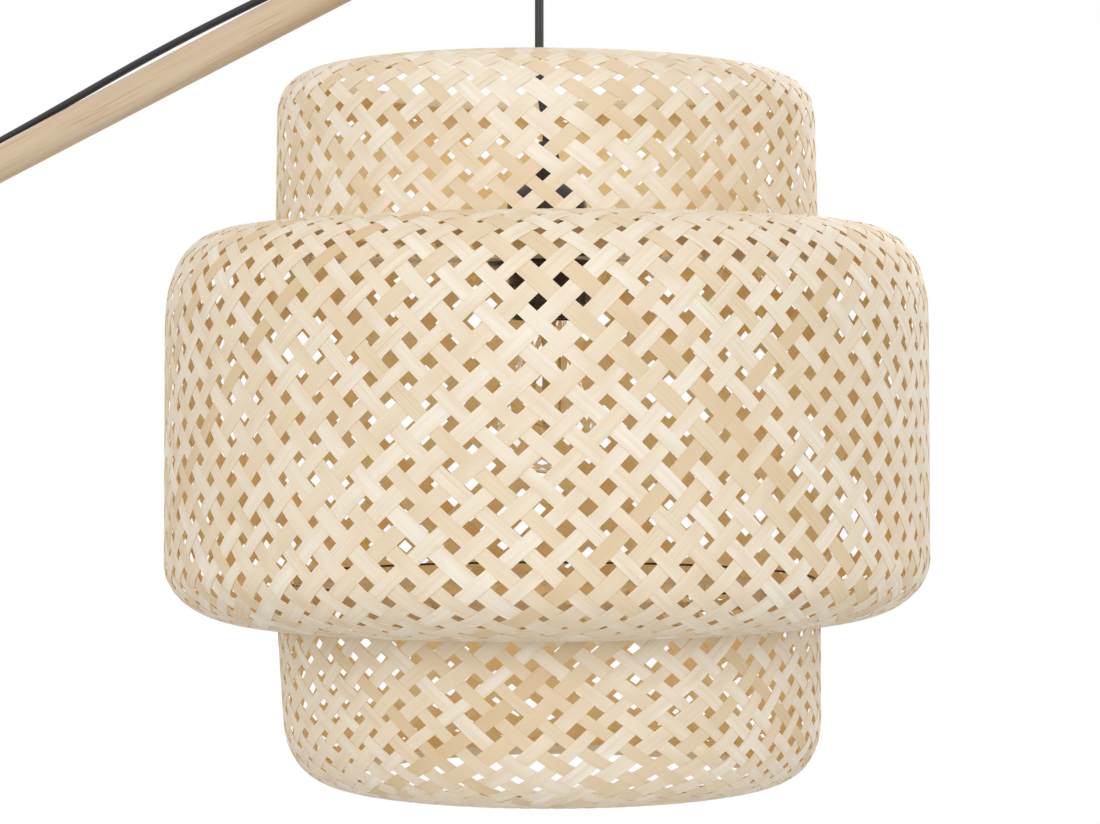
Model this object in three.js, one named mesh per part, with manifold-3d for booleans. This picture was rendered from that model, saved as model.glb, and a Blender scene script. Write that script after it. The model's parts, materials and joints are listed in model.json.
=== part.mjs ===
// A floor lamp: a weighted round base, a wooden mast in two lengths, a wooden arm that tilts in a fork
// on the mast, and a three-tier shade of woven bamboo strips that hangs from the arm on its own cord.
//
// Frame: +Z up, millimetres. The origin is the centre of the base's underside, on the floor. The mast
// stands on the origin, and the arm points along +X.

import * as THREE from "three";
import { ConvexGeometry } from "three/addons/geometries/ConvexGeometry.js";
import { mergeVertices } from "three/addons/utils/BufferGeometryUtils.js";
import Module from "manifold-3d";

const wasm = await Module();
wasm.setup();

// Fits shared by all pieces
const seat = 0.3; // between a piece and what it rests on or lies against
const overrun = 2; // how far a cutter reaches past the face that it cuts
const weld = 1e-4; // vertices nearer than this are one
const roundSides = 18; // sides of a round rod or bore
const smallSides = 12; // the same for a small one
const wideSides = 32; // the same for a wide one

// Whole lamp
const reach = 620; // mast axis to shade axis
const pivotHeight = 1478; // the arm's pivot above the floor
const armRise = THREE.MathUtils.degToRad(19.7);
const armTail = 250; // pivot to the arm's low end

// Base
const baseRadius = 150;
const plateThick = 14;
const plateEdge = 4;
const padRadius = 144;
const padThick = 3;
const boltRadius = 5;
const boltHeadRadius = 9;
const boltHeadThick = 5;
const boltSink = 6.5;
const boltLength = 48; // under the head
const boltFit = 0.3;

// Mast
const mastRadius = 14;
const mastChamfer = 1;
const socketHeight = 48;
const socketFloor = 4.3;
const socketWall = 3.2;
const socketFlange = 32;
const socketFlangeThick = 4;
const jointHeight = 742; // middle of the sleeve between the two lengths
const sleeveLength = 38;
const sleeveWall = 2;
const sleeveWeb = 3;

// Fork on the mast, and the arm's pivot
const forkDepth = 30; // pivot to the floor of the fork
const forkFloor = 6;
const forkCup = 28; // depth of the bore for the mast
const forkWall = 2.7;
const forkFlare = 20;
const forkFlareDrop = 9;
const cheekThick = 5;
const cheekWidth = 30;
const cheekTop = 14;
const flatWidth = 20; // the arm's thickness between its two flats
const flatLength = 62;
const washerThick = 1.4;
const washerRadius = 9;
const washerGap = 0.2;
const pivotRadius = 3.9;
const pivotHeadRadius = 9;
const pivotHeadThick = 5;

// Clamp knob
const knobRadius = 20;
const knobLobes = 6;
const knobLobeSteps = 6;
const knobLobeShare = 0.09; // of the knob's radius
const knobThick = 13;
const knobEdge = 1.5;
const knobHubRadius = 10;
const knobHubLength = 8;
const knobBore = 18;

// Arm
const armRadius = 12;
const armChamfer = 1;
const tailCapLength = 14;
const capWall = 1.5;
const capFloor = 2.5;

// Cord: flat, two cores side by side
const cordWidth = 6.4;
const cordThick = 4.4;
const cordSeat = seat + cordThick / 2; // from a surface to the middle of a cord that lies on it
const cordSides = 2; // curve steps in each round side of a free cord
const heldCordSides = 1; // the same where the cord is held or coiled
const leadSteps = 26;
const linkSteps = 12;
const loopSteps = 18;

// Saddle at the arm's high end, over which the cord turns down
const saddleSleeve = 34;
const saddleFlange = 21;
const saddleWidth = 13;
const saddleSlot = 7.4;
const woodStop = 3; // the wood ends this far before the saddle's centre
const keeperRadius = 1.4;
const saddleTurnSteps = 7;

// Bands that hold the cord on the wood
const bandWall = 1.2;
const bandLength = 9;
const armBands = [85, 172, 545]; // along the arm from the pivot
const lowBandHeight = 112; // the lowest band on the mast, above the floor
const jointBandDrop = 42; // the next one, under the middle of the joint
const topBandDrop = 133; // the top one, under the arm's pivot
const cordStartShort = 12; // the cord's clipped part starts this far before its first band
const slackRise = 3.4; // the cord bows off the arm this far
const slackLength = 237; // behind the second band
const slackSteps = 10;

// Pendant
const swivelDrop = 2.5; // the cord's bending point under the saddle's middle
const pendantLength = 154; // from that point to the top of the cord grip

// Shade, heights counted from its lower rim
const drumRadius = 163; // upper and lower drum
const beltRadius = 230; // middle drum
const wallThick = 2;
const beltLow = 102;
const beltHigh = 334;
const shadeHigh = 431;
const lowCornerWide = 35;
const lowCornerHigh = 41;
const lowBeltCornerShare = 0.7; // of the step out from the narrow drums
const lowBeltCornerHigh = 35;
const highBeltCornerShare = 0.67;
const highBeltCornerHigh = 60;
const highCornerWide = 29;
const highCornerHigh = 29;
const drumInset = 20; // how far the upper drum reaches down into the middle one
const lowDrumTop = 122;
const drumGap = 1.4; // between a drum and the one that it passes into
const edgeBand = 5; // the solid edge where the strips are bound
const gapShare = 0.45; // of the spacing of the strips that is open
const minRows = 3; // of crossings in any drum
const beltStrips = 16; // strips each way round the middle drum
const drumStrips = 12; // strips each way round the upper and lower drums
const stripLean = THREE.MathUtils.degToRad(48); // from the vertical

// Hoops and the ring inside the shade
const rimHoopWide = 2.6;
const rimHoopHigh = 7;
const caneRadius = 1.75;
const lowHoopHigh = 6;
const lowHoopWide = 2.5;
const lowHoopDrop = 4; // under the lower drum's upper edge
const wireRadius = 1.5;
const hoopTubeSides = 5;
const hoopFit = 2.2; // from a drum's inside, which is faceted

// Carrier that holds the shade on the lampholder
const carrierLevel = 316.5;
const carrierThick = 2;
const carrierArmWide = 12;
const carrierArms = 4;
const carrierTurn = THREE.MathUtils.degToRad(25);
const carrierHub = 31;

// Lampholder
const skirtRadius = 23.6;
const skirtLow = 281;
const skirtWall = 2.6;
const neckRadius = 21.4; // the skirt's upper part, inside the cap
const neckHigh = 343;
const capRadius = 24.3;
const capLip = 26.2;
const capLipHigh = 3;
const capShoulder = 349;
const capHigh = 365;
const capTopRadius = 9;
const capShell = 2.2;
const flangeRadius = 36;
const flangeThick = 6.5;
const lockRadius = 27;
const lockLow = 290;
const lockHigh = 302;
const lockTeeth = 24;
const lockToothDepth = 1.1;
const gripRadius = 8;
const gripHigh = 24;
const gripTopRadius = 5;
const gripStem = 10;
const gripStemRadius = 6;
const insertLow = 320;
const insertHigh = 338;
const shellRadius = 14.4;
const shellThick = 0.8;
const shellLow = 291;
const contactRadius = 4;
const contactThick = 1.2;

// Bulb
const bulbRadius = 30.2;
const bulbLow = 187;
const glassThick = 1;
const glassNeck = 12.4;
const glassTop = 293;
const bulbCapRadius = 13.1;
const bulbCapLow = 285;
const bulbCapHigh = 312;
const bulbCapThick = 0.6;
const bulbTipRadius = 4.5;
const bulbTipHigh = 2.6;
const stemRadius = 5;
const stemLow = 262;
const stemPost = 1.2;
const filamentRadius = 0.9;
const filamentCount = 4;
const filamentLow = 214;
const filamentSpread = 8;
const stickSides = 6;

// Lead on the floor, its foot switch and plug
const leadExit = 96; // where the lead leaves the mast, above the floor
const switchLength = 84;
const switchWidth = 42;
const switchLowThick = 9;
const switchHighThick = 13;
const switchEdge = 2.5;
const switchX = -172;
const switchY = 190;
const cableLevel = 5; // the cable's middle where it enters the switch
const bootLength = 24; // tapered sleeve on the cable at each end of the switch
const bootSink = 3; // how far a boot reaches into the switch
const bootRootWide = 12;
const bootRootHigh = 7.6;
const bootTipWide = 8.4;
const bootTipHigh = 6.2;
const bootSteps = 3;
const buttonLength = 30;
const buttonWidth = 20;
const buttonProud = 4.5;
const buttonFit = 0.5;
const buttonEdge = 1;
const buttonPocket = 10; // depth of the pocket under the switch's top
const coilX = -70;
const coilTopY = 294;
const coilRadius = 48; // outermost turn
const coilPitch = 7.2;
const coilTurnsIn = 3;
const coilTurnsOut = 2.5;
const coilLift = 5; // between the two layers
const coilDip = 5.8; // how far the climb swings in at the eye
const coilTail = 42; // straight end, which leads clear of the loops
const coilSteps = 24; // steps a turn
const plugLength = 34;
const plugWidth = 35;
const plugNarrow = 24;
const plugRelief = 24;
const plugReliefRadius = 5.6;
const plugReliefTip = 4;
const plugEdge = 2;
const pinRadius = 2;
const pinLength = 19;
const pinSpacing = 19;
const pinInset = 4;

// Sizes that follow from the ones above
const plateLow = padThick + seat;
const plateHigh = plateLow + plateThick;
const socketLow = plateHigh + seat;
const mastFoot = socketLow + socketFloor + seat;
const armCordHeight = armRadius + cordSeat; // the cord's middle above the arm's axis
const mastCordX = -(mastRadius + cordSeat);
const saddleAlong = (reach - armCordHeight) / Math.cos(armRise);
const saddleCentre = new THREE.Vector3(
  saddleAlong * Math.cos(armRise),
  0,
  pivotHeight + saddleAlong * Math.sin(armRise),
);
const bendingPoint = new THREE.Vector3(reach, 0, saddleCentre.z - swivelDrop);
const gripTop = bendingPoint.z - pendantLength;
const shadeLow = gripTop - (capHigh + gripHigh + seat);
const cheekInner = flatWidth / 2 + washerGap + washerThick + washerGap;
const cheekOuter = cheekInner + cheekThick;
const mastBands = [lowBandHeight, jointHeight - jointBandDrop, pivotHeight - topBandDrop];
const loopStart = mastBands.at(-1) + cordStartShort;
const loopEnd = armBands[0] - cordStartShort;
const coilLevel = cordThick / 2;
const coilHighLevel = coilLevel + coilLift;
const leadLanding = plateHigh + cordSeat;
const lowBeltCornerWide = lowBeltCornerShare * (beltRadius - drumRadius);
const highBeltCornerWide = highBeltCornerShare * (beltRadius - drumRadius);
const switchHalf = switchLength / 2 + bootLength; // middle of the switch to a boot's tip

// Finishes
const finishes = {
  bamboo: { color: 0xeadbbd, roughness: 0.6, metalness: 0 },
  wood: { color: 0xccae8a, roughness: 0.55, metalness: 0 },
  blackMetal: { color: 0x1d1d1e, roughness: 0.45, metalness: 0.6 },
  greyMetal: { color: 0xc9c8c4, roughness: 0.4, metalness: 0.5 },
  blackPlastic: { color: 0x221e1b, roughness: 0.4, metalness: 0 },
  nickel: { color: 0xb9b7b0, roughness: 0.3, metalness: 1 },
  brass: { color: 0xb08d4c, roughness: 0.35, metalness: 1 },
  glass: { color: 0xf2f4f4, roughness: 0.05, metalness: 0, transparent: true, opacity: 0.35 },
  filament: { color: 0xe9c46a, roughness: 0.5, metalness: 0 },
  cord: { color: 0x2b2b2e, roughness: 0.8, metalness: 0 },
  rubber: { color: 0x1b1b1b, roughness: 0.9, metalness: 0 },
  nylon: { color: 0xd9d6cf, roughness: 0.6, metalness: 0 },
};

function piece(name, geometry, finish) {
  const mesh = new THREE.Mesh(geometry, new THREE.MeshStandardMaterial(finishes[finish]));
  mesh.name = name;
  return mesh;
}

// Joining and cutting

function solid(geometry) {
  const bare = geometry.index ? geometry.toNonIndexed() : geometry.clone();
  bare.deleteAttribute("normal");
  bare.deleteAttribute("uv");
  const merged = mergeVertices(bare, weld);
  return new wasm.Manifold(
    new wasm.Mesh({
      numProp: 3,
      vertProperties: merged.attributes.position.array,
      triVerts: new Uint32Array(merged.index.array),
    }),
  );
}

function geometryOf(made) {
  const { vertProperties, triVerts } = made.getMesh();
  const geometry = new THREE.BufferGeometry();
  geometry.setAttribute("position", new THREE.BufferAttribute(vertProperties, 3));
  geometry.setIndex(new THREE.BufferAttribute(triVerts, 1));
  geometry.computeVertexNormals();
  return geometry;
}

function joined(...geometries) {
  return geometryOf(geometries.map(solid).reduce((all, next) => all.add(next)));
}

function cut(body, ...cutters) {
  return geometryOf(cutters.map(solid).reduce((rest, next) => rest.subtract(next), solid(body)));
}

function common(body, other) {
  return geometryOf(solid(body).intersect(solid(other)));
}

// Basic forms

// A round piece about Z, from pairs of radius and height that run up its outside
function turned(profile, sides = roundSides) {
  const points = profile.map(([radius, height]) => new THREE.Vector2(radius, height));
  return new THREE.LatheGeometry(points, sides).rotateX(Math.PI / 2);
}

// The same for a profile that closes on itself
function ring(profile, sides = roundSides) {
  return turned([...profile, profile[0]], sides);
}

function rodZ(radius, low, high, sides = roundSides) {
  return turned([[0, low], [radius, low], [radius, high], [0, high]], sides);
}

function rodX(radius, low, high, sides = roundSides) {
  return rodZ(radius, low, high, sides).rotateY(Math.PI / 2);
}

function rodY(radius, low, high, sides = roundSides) {
  return rodZ(radius, low, high, sides).rotateX(-Math.PI / 2);
}

function block(sizeX, sizeY, sizeZ, x, y, z) {
  return new THREE.BoxGeometry(sizeX, sizeY, sizeZ).translate(x, y, z);
}

// An outline with X to the right and Z up, given a thickness along Y about y
function sideProfile(shape, thick, y = 0, curveSegments = 5) {
  return new THREE.ExtrudeGeometry(shape, { depth: thick, bevelEnabled: false, curveSegments })
    .rotateX(Math.PI / 2)
    .translate(0, y + thick / 2, 0);
}

function stadium(width, height) {
  const radius = Math.min(width, height) / 2;
  const straightX = width / 2 - radius;
  const straightY = height / 2 - radius;
  const shape = new THREE.Shape();
  if (width > height) {
    shape.absarc(straightX, 0, radius, -Math.PI / 2, Math.PI / 2);
    shape.absarc(-straightX, 0, radius, Math.PI / 2, (3 * Math.PI) / 2);
  } else {
    shape.absarc(0, straightY, radius, 0, Math.PI);
    shape.absarc(0, -straightY, radius, Math.PI, 2 * Math.PI);
  }
  return shape;
}

// A route through stations that a sweep visits one by one, rolled so that the section's first
// direction ends along endSide
class Route extends THREE.Curve {
  constructor(stations, endSide) {
    super();
    this.stations = stations;
    this.endSide = endSide;
  }

  computeFrenetFrames(segments, closed) {
    const frames = super.computeFrenetFrames(segments, closed);
    if (!this.endSide) return frames;
    const tangent = frames.tangents[segments];
    const normal = frames.normals[segments];
    const across = new THREE.Vector3().crossVectors(normal, this.endSide);
    const roll = Math.atan2(across.dot(tangent), normal.dot(this.endSide));
    frames.tangents.forEach((axis, i) => {
      frames.normals[i].applyAxisAngle(axis, (roll * i) / segments);
      frames.binormals[i].applyAxisAngle(axis, (roll * i) / segments);
    });
    return frames;
  }

  getSpacedPoints() {
    return this.stations;
  }

  getTangentAt(share) {
    const last = this.stations.length - 1;
    const at = Math.round(share * last);
    const from = this.stations[Math.max(at - 1, 0)];
    const to = this.stations[Math.min(at + 1, last)];
    return new THREE.Vector3().subVectors(to, from).normalize();
  }
}

function swept(shape, stations, endSide = null, curveSegments = cordSides) {
  return new THREE.ExtrudeGeometry(shape, {
    steps: stations.length - 1,
    extrudePath: new Route(stations, endSide),
    curveSegments,
  });
}

// Points spaced along a smooth curve, the ends kept straight
function smooth(points, steps) {
  return new THREE.CatmullRomCurve3(points, false, "centripetal").getSpacedPoints(steps);
}

function lengthOf(stations) {
  return stations.slice(1).reduce((sum, point, i) => sum + point.distanceTo(stations[i]), 0);
}

function point(x, y, z) {
  return new THREE.Vector3(x, y, z);
}

// Base

function basePad() {
  return rodZ(padRadius, 0, padThick, wideSides);
}

function roundedEdge(radius, high, edge, steps) {
  return Array.from({ length: steps + 1 }, (_, i) => {
    const angle = (i / steps) * (Math.PI / 2);
    return [radius - edge + edge * Math.cos(angle), high - edge + edge * Math.sin(angle)];
  });
}

function basePlate() {
  const bore = boltRadius + boltFit;
  const sinkRadius = boltHeadRadius + boltFit;
  return ring(
    [
      [sinkRadius, plateLow],
      [baseRadius - plateEdge / 2, plateLow],
      [baseRadius, plateLow + plateEdge / 2],
      ...roundedEdge(baseRadius, plateHigh, plateEdge, 2),
      [bore, plateHigh],
      [bore, plateLow + boltSink],
      [sinkRadius, plateLow + boltSink],
    ],
    wideSides,
  );
}

function mastBolt() {
  const headHigh = plateLow + boltSink - seat;
  return turned([
    [0, headHigh - boltHeadThick],
    [boltHeadRadius, headHigh - boltHeadThick],
    [boltHeadRadius, headHigh],
    [boltRadius, headHigh],
    [boltRadius, headHigh + boltLength],
    [0, headHigh + boltLength],
  ], smallSides);
}

function mastSocket() {
  const bore = boltRadius + boltFit;
  const inner = mastRadius + seat;
  const outer = inner + socketWall;
  const flangeHigh = socketLow + socketFlangeThick;
  const high = socketLow + socketHeight;
  return ring([
    [bore, socketLow],
    [socketFlange, socketLow],
    [socketFlange, flangeHigh - mastChamfer],
    [socketFlange - mastChamfer, flangeHigh],
    [outer + socketFlangeThick / 2, flangeHigh],
    [outer, flangeHigh + socketFlangeThick / 2],
    [outer, high - mastChamfer],
    [outer - mastChamfer, high],
    [inner, high],
    [inner, socketLow + socketFloor],
    [bore, socketLow + socketFloor],
  ]);
}

// Mast

const tenonRadius = mastRadius - sleeveWall - seat;
const tenonLength = (sleeveLength - sleeveWeb) / 2 - seat;

function mastLower() {
  const boreHigh = plateLow + boltSink - seat + boltLength + seat;
  const bore = boltRadius + boltFit;
  const shoulder = jointHeight - sleeveLength / 2 - seat;
  return turned([
    [0, boreHigh],
    [bore, boreHigh],
    [bore, mastFoot],
    [mastRadius - mastChamfer, mastFoot],
    [mastRadius, mastFoot + mastChamfer],
    [mastRadius, shoulder],
    [tenonRadius, shoulder],
    [tenonRadius, shoulder + tenonLength],
    [0, shoulder + tenonLength],
  ]);
}

function mastSleeve() {
  const inner = mastRadius - sleeveWall;
  const low = jointHeight - sleeveLength / 2;
  const high = jointHeight + sleeveLength / 2;
  return turned([
    [0, jointHeight - sleeveWeb / 2],
    [inner, jointHeight - sleeveWeb / 2],
    [inner, low],
    [mastRadius, low],
    [mastRadius, high],
    [inner, high],
    [inner, jointHeight + sleeveWeb / 2],
    [0, jointHeight + sleeveWeb / 2],
  ]);
}

function mastUpper() {
  const shoulder = jointHeight + sleeveLength / 2 + seat;
  const high = pivotHeight - forkDepth - forkFloor - seat;
  return turned([
    [0, shoulder - tenonLength],
    [tenonRadius, shoulder - tenonLength],
    [tenonRadius, shoulder],
    [mastRadius, shoulder],
    [mastRadius, high - mastChamfer],
    [mastRadius - mastChamfer, high],
    [0, high],
  ]);
}

// Fork and pivot, about the pivot as origin

function forkHead() {
  const inner = mastRadius + seat;
  const outer = inner + forkWall;
  const floorHigh = -forkDepth;
  const boreHigh = floorHigh - forkFloor;
  const low = boreHigh - forkCup;
  const cup = turned([
    [0, boreHigh],
    [inner, boreHigh],
    [inner, low],
    [outer - mastChamfer, low],
    [outer, low + mastChamfer],
    [outer, boreHigh - forkFlareDrop],
    [forkFlare, boreHigh],
    [forkFlare, floorHigh - mastChamfer],
    [forkFlare - mastChamfer, floorHigh],
    [0, floorHigh],
  ]);
  const outline = new THREE.Shape();
  outline.moveTo(-cheekWidth / 2, floorHigh - mastChamfer);
  outline.lineTo(cheekWidth / 2, floorHigh - mastChamfer);
  outline.lineTo(cheekTop, 0);
  outline.absarc(0, 0, cheekTop, 0, Math.PI);
  const cheekMiddle = (cheekInner + cheekOuter) / 2;
  const cheeks = joined(
    sideProfile(outline, cheekThick, cheekMiddle),
    sideProfile(outline, cheekThick, -cheekMiddle),
  );
  const trimmed = common(cheeks, rodZ(forkFlare, -2 * forkDepth, 2 * forkDepth));
  const hole = rodY(pivotRadius + seat, -cheekOuter - overrun, cheekOuter + overrun);
  return cut(joined(cup, trimmed), hole);
}

function pivotWasher(side) {
  const inner = flatWidth / 2 + washerGap;
  const washer = ring([
    [pivotRadius + seat, inner],
    [washerRadius, inner],
    [washerRadius, inner + washerThick],
    [pivotRadius + seat, inner + washerThick],
  ], smallSides);
  return washer.rotateX((-side * Math.PI) / 2);
}

const knobFace = cheekOuter + seat + washerThick + seat;

function knobWasher() {
  const washer = ring([
    [pivotRadius + seat, cheekOuter + seat],
    [washerRadius, cheekOuter + seat],
    [washerRadius, cheekOuter + seat + washerThick],
    [pivotRadius + seat, cheekOuter + seat + washerThick],
  ], smallSides);
  return washer.rotateX(Math.PI / 2);
}

function pivotBolt() {
  const end = -(knobFace + knobBore - seat);
  const headLow = cheekOuter + seat;
  return turned([
    [0, end],
    [pivotRadius - mastChamfer, end],
    [pivotRadius, end + mastChamfer],
    [pivotRadius, headLow],
    [pivotHeadRadius, headLow],
    [pivotHeadRadius, headLow + pivotHeadThick / 2],
    [pivotHeadRadius * Math.cos(Math.PI / 6), headLow + pivotHeadThick * Math.sin(Math.PI / 3)],
    [pivotHeadRadius / 2, headLow + pivotHeadThick],
    [0, headLow + pivotHeadThick],
  ], smallSides).rotateX(-Math.PI / 2);
}

function clampKnob() {
  const outline = new THREE.Shape(
    Array.from({ length: knobLobeSteps * knobLobes }, (_, i) => {
      const angle = (i / (knobLobeSteps * knobLobes)) * 2 * Math.PI;
      const radius = (knobRadius - knobEdge) * (1 + knobLobeShare * Math.cos(knobLobes * angle));
      return new THREE.Vector2(radius * Math.cos(angle), radius * Math.sin(angle));
    }),
  );
  const hubEnd = knobFace + knobHubLength;
  const head = new THREE.ExtrudeGeometry(outline, {
    depth: knobThick - 2 * knobEdge,
    bevelThickness: knobEdge,
    bevelSize: knobEdge,
    bevelSegments: 1,
  }).translate(0, 0, hubEnd + knobEdge - overrun / 2);
  const hub = rodZ(knobHubRadius, knobFace, hubEnd);
  const bore = rodZ(pivotRadius + seat, knobFace - overrun, knobFace + knobBore);
  return cut(joined(head, hub), bore).rotateX(Math.PI / 2);
}

// Arm, along X from the pivot

function armRod() {
  const wood = turned([
    [0, -armTail],
    [armRadius - armChamfer, -armTail],
    [armRadius, -armTail + armChamfer],
    [armRadius, saddleAlong - woodStop - armChamfer],
    [armRadius - armChamfer, saddleAlong - woodStop],
    [0, saddleAlong - woodStop],
  ]).rotateY(Math.PI / 2);
  const flatDepth = armRadius - flatWidth / 2 + overrun;
  const flatMiddle = (flatWidth + flatDepth) / 2;
  return cut(
    wood,
    block(flatLength, flatDepth, 2 * (armRadius + overrun), 0, flatMiddle, 0),
    block(flatLength, flatDepth, 2 * (armRadius + overrun), 0, -flatMiddle, 0),
    rodY(pivotRadius + seat, -armRadius - overrun, armRadius + overrun),
  );
}

function tailCap() {
  const inner = armRadius + seat;
  const outer = inner + capWall;
  const open = -armTail + tailCapLength;
  const floor = -armTail - seat;
  return turned([
    [0, floor - capFloor],
    [outer - armChamfer, floor - capFloor],
    [outer, floor - capFloor + armChamfer],
    [outer, open],
    [inner, open],
    [inner, floor],
    [0, floor],
  ]).rotateY(Math.PI / 2);
}

// The end cap is a sleeve with a grooved nose about the saddle's centre
function saddleCap() {
  const inner = armRadius + seat;
  const outer = inner + capWall;
  const sleeve = rodX(outer, -saddleSleeve, 0);
  const nose = rodY(saddleFlange, -saddleWidth / 2, saddleWidth / 2, wideSides);
  const grooveFloor = armRadius;
  const grooveRound = new THREE.Shape();
  grooveRound.absarc(0, 0, saddleFlange + overrun, 0, 2 * Math.PI);
  const core = new THREE.Path();
  core.absarc(0, 0, grooveFloor, 0, 2 * Math.PI, true);
  grooveRound.holes.push(core);
  const groove = sideProfile(grooveRound, saddleSlot, 0, smallSides);
  const channelLength = saddleSleeve + overrun;
  const channelHigh = saddleFlange - grooveFloor + overrun;
  const channel = block(
    channelLength,
    saddleSlot,
    channelHigh,
    -channelLength / 2,
    0,
    grooveFloor + channelHigh / 2,
  );
  const bore = rodX(inner, -saddleSleeve - overrun, -woodStop + seat);
  const keeper = rodY(keeperRadius + seat, -saddleWidth, saddleWidth, smallSides);
  const hole = keeper.translate(keeperPlace.x, 0, keeperPlace.z);
  return cut(joined(sleeve, nose), groove, channel, bore, hole);
}

const keeperPlace = (() => {
  const out = armCordHeight + cordThick / 2 + seat + keeperRadius;
  const angle = Math.PI / 4 - armRise;
  return point(out * Math.cos(angle), 0, out * Math.sin(angle));
})();

function keeperPin() {
  const half = saddleWidth / 2;
  return rodY(keeperRadius, -half, half, smallSides).translate(keeperPlace.x, 0, keeperPlace.z);
}

// A band pulled tight round a rod along Z and the cord that lies on it at +X
function cordBand(rodRadius) {
  const wrap = (grow, long) => {
    const rod = new THREE.Path();
    rod.absarc(0, 0, rodRadius + seat + grow, 0, 2 * Math.PI);
    const margin = 2 * (seat + grow);
    const flat = stadium(cordThick + margin, cordWidth + margin).getPoints(heldCordSides);
    const outline = [
      ...rod.getPoints(roundSides / 2),
      ...flat.map((corner) => corner.add(new THREE.Vector2(rodRadius + cordSeat, 0))),
    ];
    return new ConvexGeometry(
      outline.flatMap(({ x, y }) => [point(x, y, -long / 2), point(x, y, long / 2)]),
    );
  };
  return cut(wrap(bandWall, bandLength), wrap(0, bandLength + overrun));
}

// Cords held on the wood

function armCord() {
  const slackStart = armBands[1] + bandLength;
  const stations = [point(loopEnd, 0, armCordHeight), point(slackStart, 0, armCordHeight)];
  for (let i = 1; i <= slackSteps; i += 1) {
    const share = i / slackSteps;
    const rise = slackRise * Math.sin(share * Math.PI) ** 2;
    stations.push(point(slackStart + share * slackLength, 0, armCordHeight + rise));
  }
  const turn = Math.PI / 2 + armRise;
  for (let i = 0; i <= saddleTurnSteps; i += 1) {
    const angle = Math.PI / 2 - (i / saddleTurnSteps) * turn;
    const x = saddleAlong + armCordHeight * Math.cos(angle);
    stations.push(point(x, 0, armCordHeight * Math.sin(angle)));
  }
  return swept(stadium(cordThick, cordWidth), stations, null, heldCordSides);
}

function mastCord() {
  const stations = [point(mastCordX, 0, leadExit + seat), point(mastCordX, 0, loopStart)];
  return swept(stadium(cordWidth, cordThick), stations, null, heldCordSides);
}

// The free loop that lets the arm tilt, chosen by hand about the pivot
function loopPoints() {
  const along = (distance, lift) =>
    point(distance, 0, armCordHeight + lift).applyAxisAngle(point(0, 1, 0), -armRise);
  const start = loopStart - pivotHeight + seat;
  return [
    point(mastCordX, 0, start),
    point(mastCordX - 0.6, 0, start + 9),
    point(-20.5, 3.5, -95),
    point(-27, 14, -70),
    point(-34, 25, -41),
    point(-37.5, 31, -12),
    point(-35, 30.5, 11),
    point(-23, 24, 29),
    point(-3, 13, 37),
    point(18, 4.5, 36.5),
    along(loopEnd - 25, 2.6),
    along(loopEnd - 9, 0.6),
    along(loopEnd - seat, 0),
  ];
}

function cordLoop() {
  const stations = smooth(loopPoints(), loopSteps);
  return swept(stadium(cordWidth, cordThick), stations, point(0, -1, 0));
}

// Pendant cord, about its bending point
function pendantCord() {
  const tube = swept(stadium(cordWidth, cordThick), [
    point(0, 0, -pendantLength + seat),
    point(0, 0, 0),
  ]);
  return joined(tube, rodY(cordThick / 2, -cordWidth / 2, cordWidth / 2, smallSides));
}

// Shade, about its axis, heights from its lower rim

// The rows of crossings along a drum's profile, which keep the strips' lean at its radius
function rowsAlong(profile, radius, strips) {
  const long = profile.getLength() - 2 * edgeBand;
  const height = (Math.PI * radius) / strips / Math.tan(stripLean);
  const count = Math.max(minRows, Math.round(long / height));
  return Array.from({ length: count + 1 }, (_, j) => edgeBand + (j / count) * long);
}

// A wall of crossing strips from one row to another: cells of a profile that share corners, made
// into a closed sheet. It ends in a band at the profile's own ends, and in half crossings elsewhere
function wovenWall(profile, strips, rows, from, to) {
  const long = profile.getLength();
  const last = rows.length - 1;
  const step = (2 * Math.PI) / strips;
  const corners = [];
  const numbers = new Map();
  const corner = (half, along) => {
    const turn = (half + 2 * strips) % (2 * strips);
    const key = `${turn.toFixed(4)}:${along.toFixed(4)}`;
    if (!numbers.has(key)) {
      numbers.set(key, corners.length);
      corners.push([(turn * step) / 2, along]);
    }
    return numbers.get(key);
  };
  const level = (j) => {
    if (j === from && j > 0) return rows[j] + seat / 2;
    if (j === to && j < last) return rows[j] - seat / 2;
    return rows[j];
  };
  const up = (j) => rows[j] + gapShare * (rows[j + 1] - rows[j]);
  const down = (j) => rows[j] - gapShare * (rows[j] - rows[j - 1]);
  const cells = [];
  for (let j = from; j <= to; j += 1) {
    for (let i = 0; i < strips; i += 1) {
      const here = 2 * i + (j % 2);
      const places = [here - 1 + gapShare, here + 1 - gapShare, here + 1 + gapShare];
      const [left, right, far] = places.map((half) => corner(half, level(j)));
      const top = j < to ? corner(here, down(j + 1)) : null;
      const low = j > from ? corner(here, up(j - 1)) : null;
      if (j === from) cells.push([left, right, top]);
      else if (j === to) cells.push([left, low, right]);
      else cells.push([low, right, top, left]);
      if (j === 0) {
        const [a, b, c] = places.map((half) => corner(half, 0));
        cells.push([a, b, right, left], [b, c, far, right]);
      }
      if (j === last) {
        const [a, b, c] = places.map((half) => corner(half, long));
        cells.push([left, right, b, a], [right, far, c, b]);
      }
      if (j < to) {
        const rightTop = corner(here + 1, up(j));
        const upRight = corner(here + gapShare, level(j + 1));
        const leftTop = corner(here - 1, up(j));
        const upLeft = corner(here - gapShare, level(j + 1));
        cells.push([right, rightTop, upRight, top], [left, top, upLeft, leftTop]);
      }
    }
  }
  return thickSheet(cells, corners, profile);
}

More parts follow.
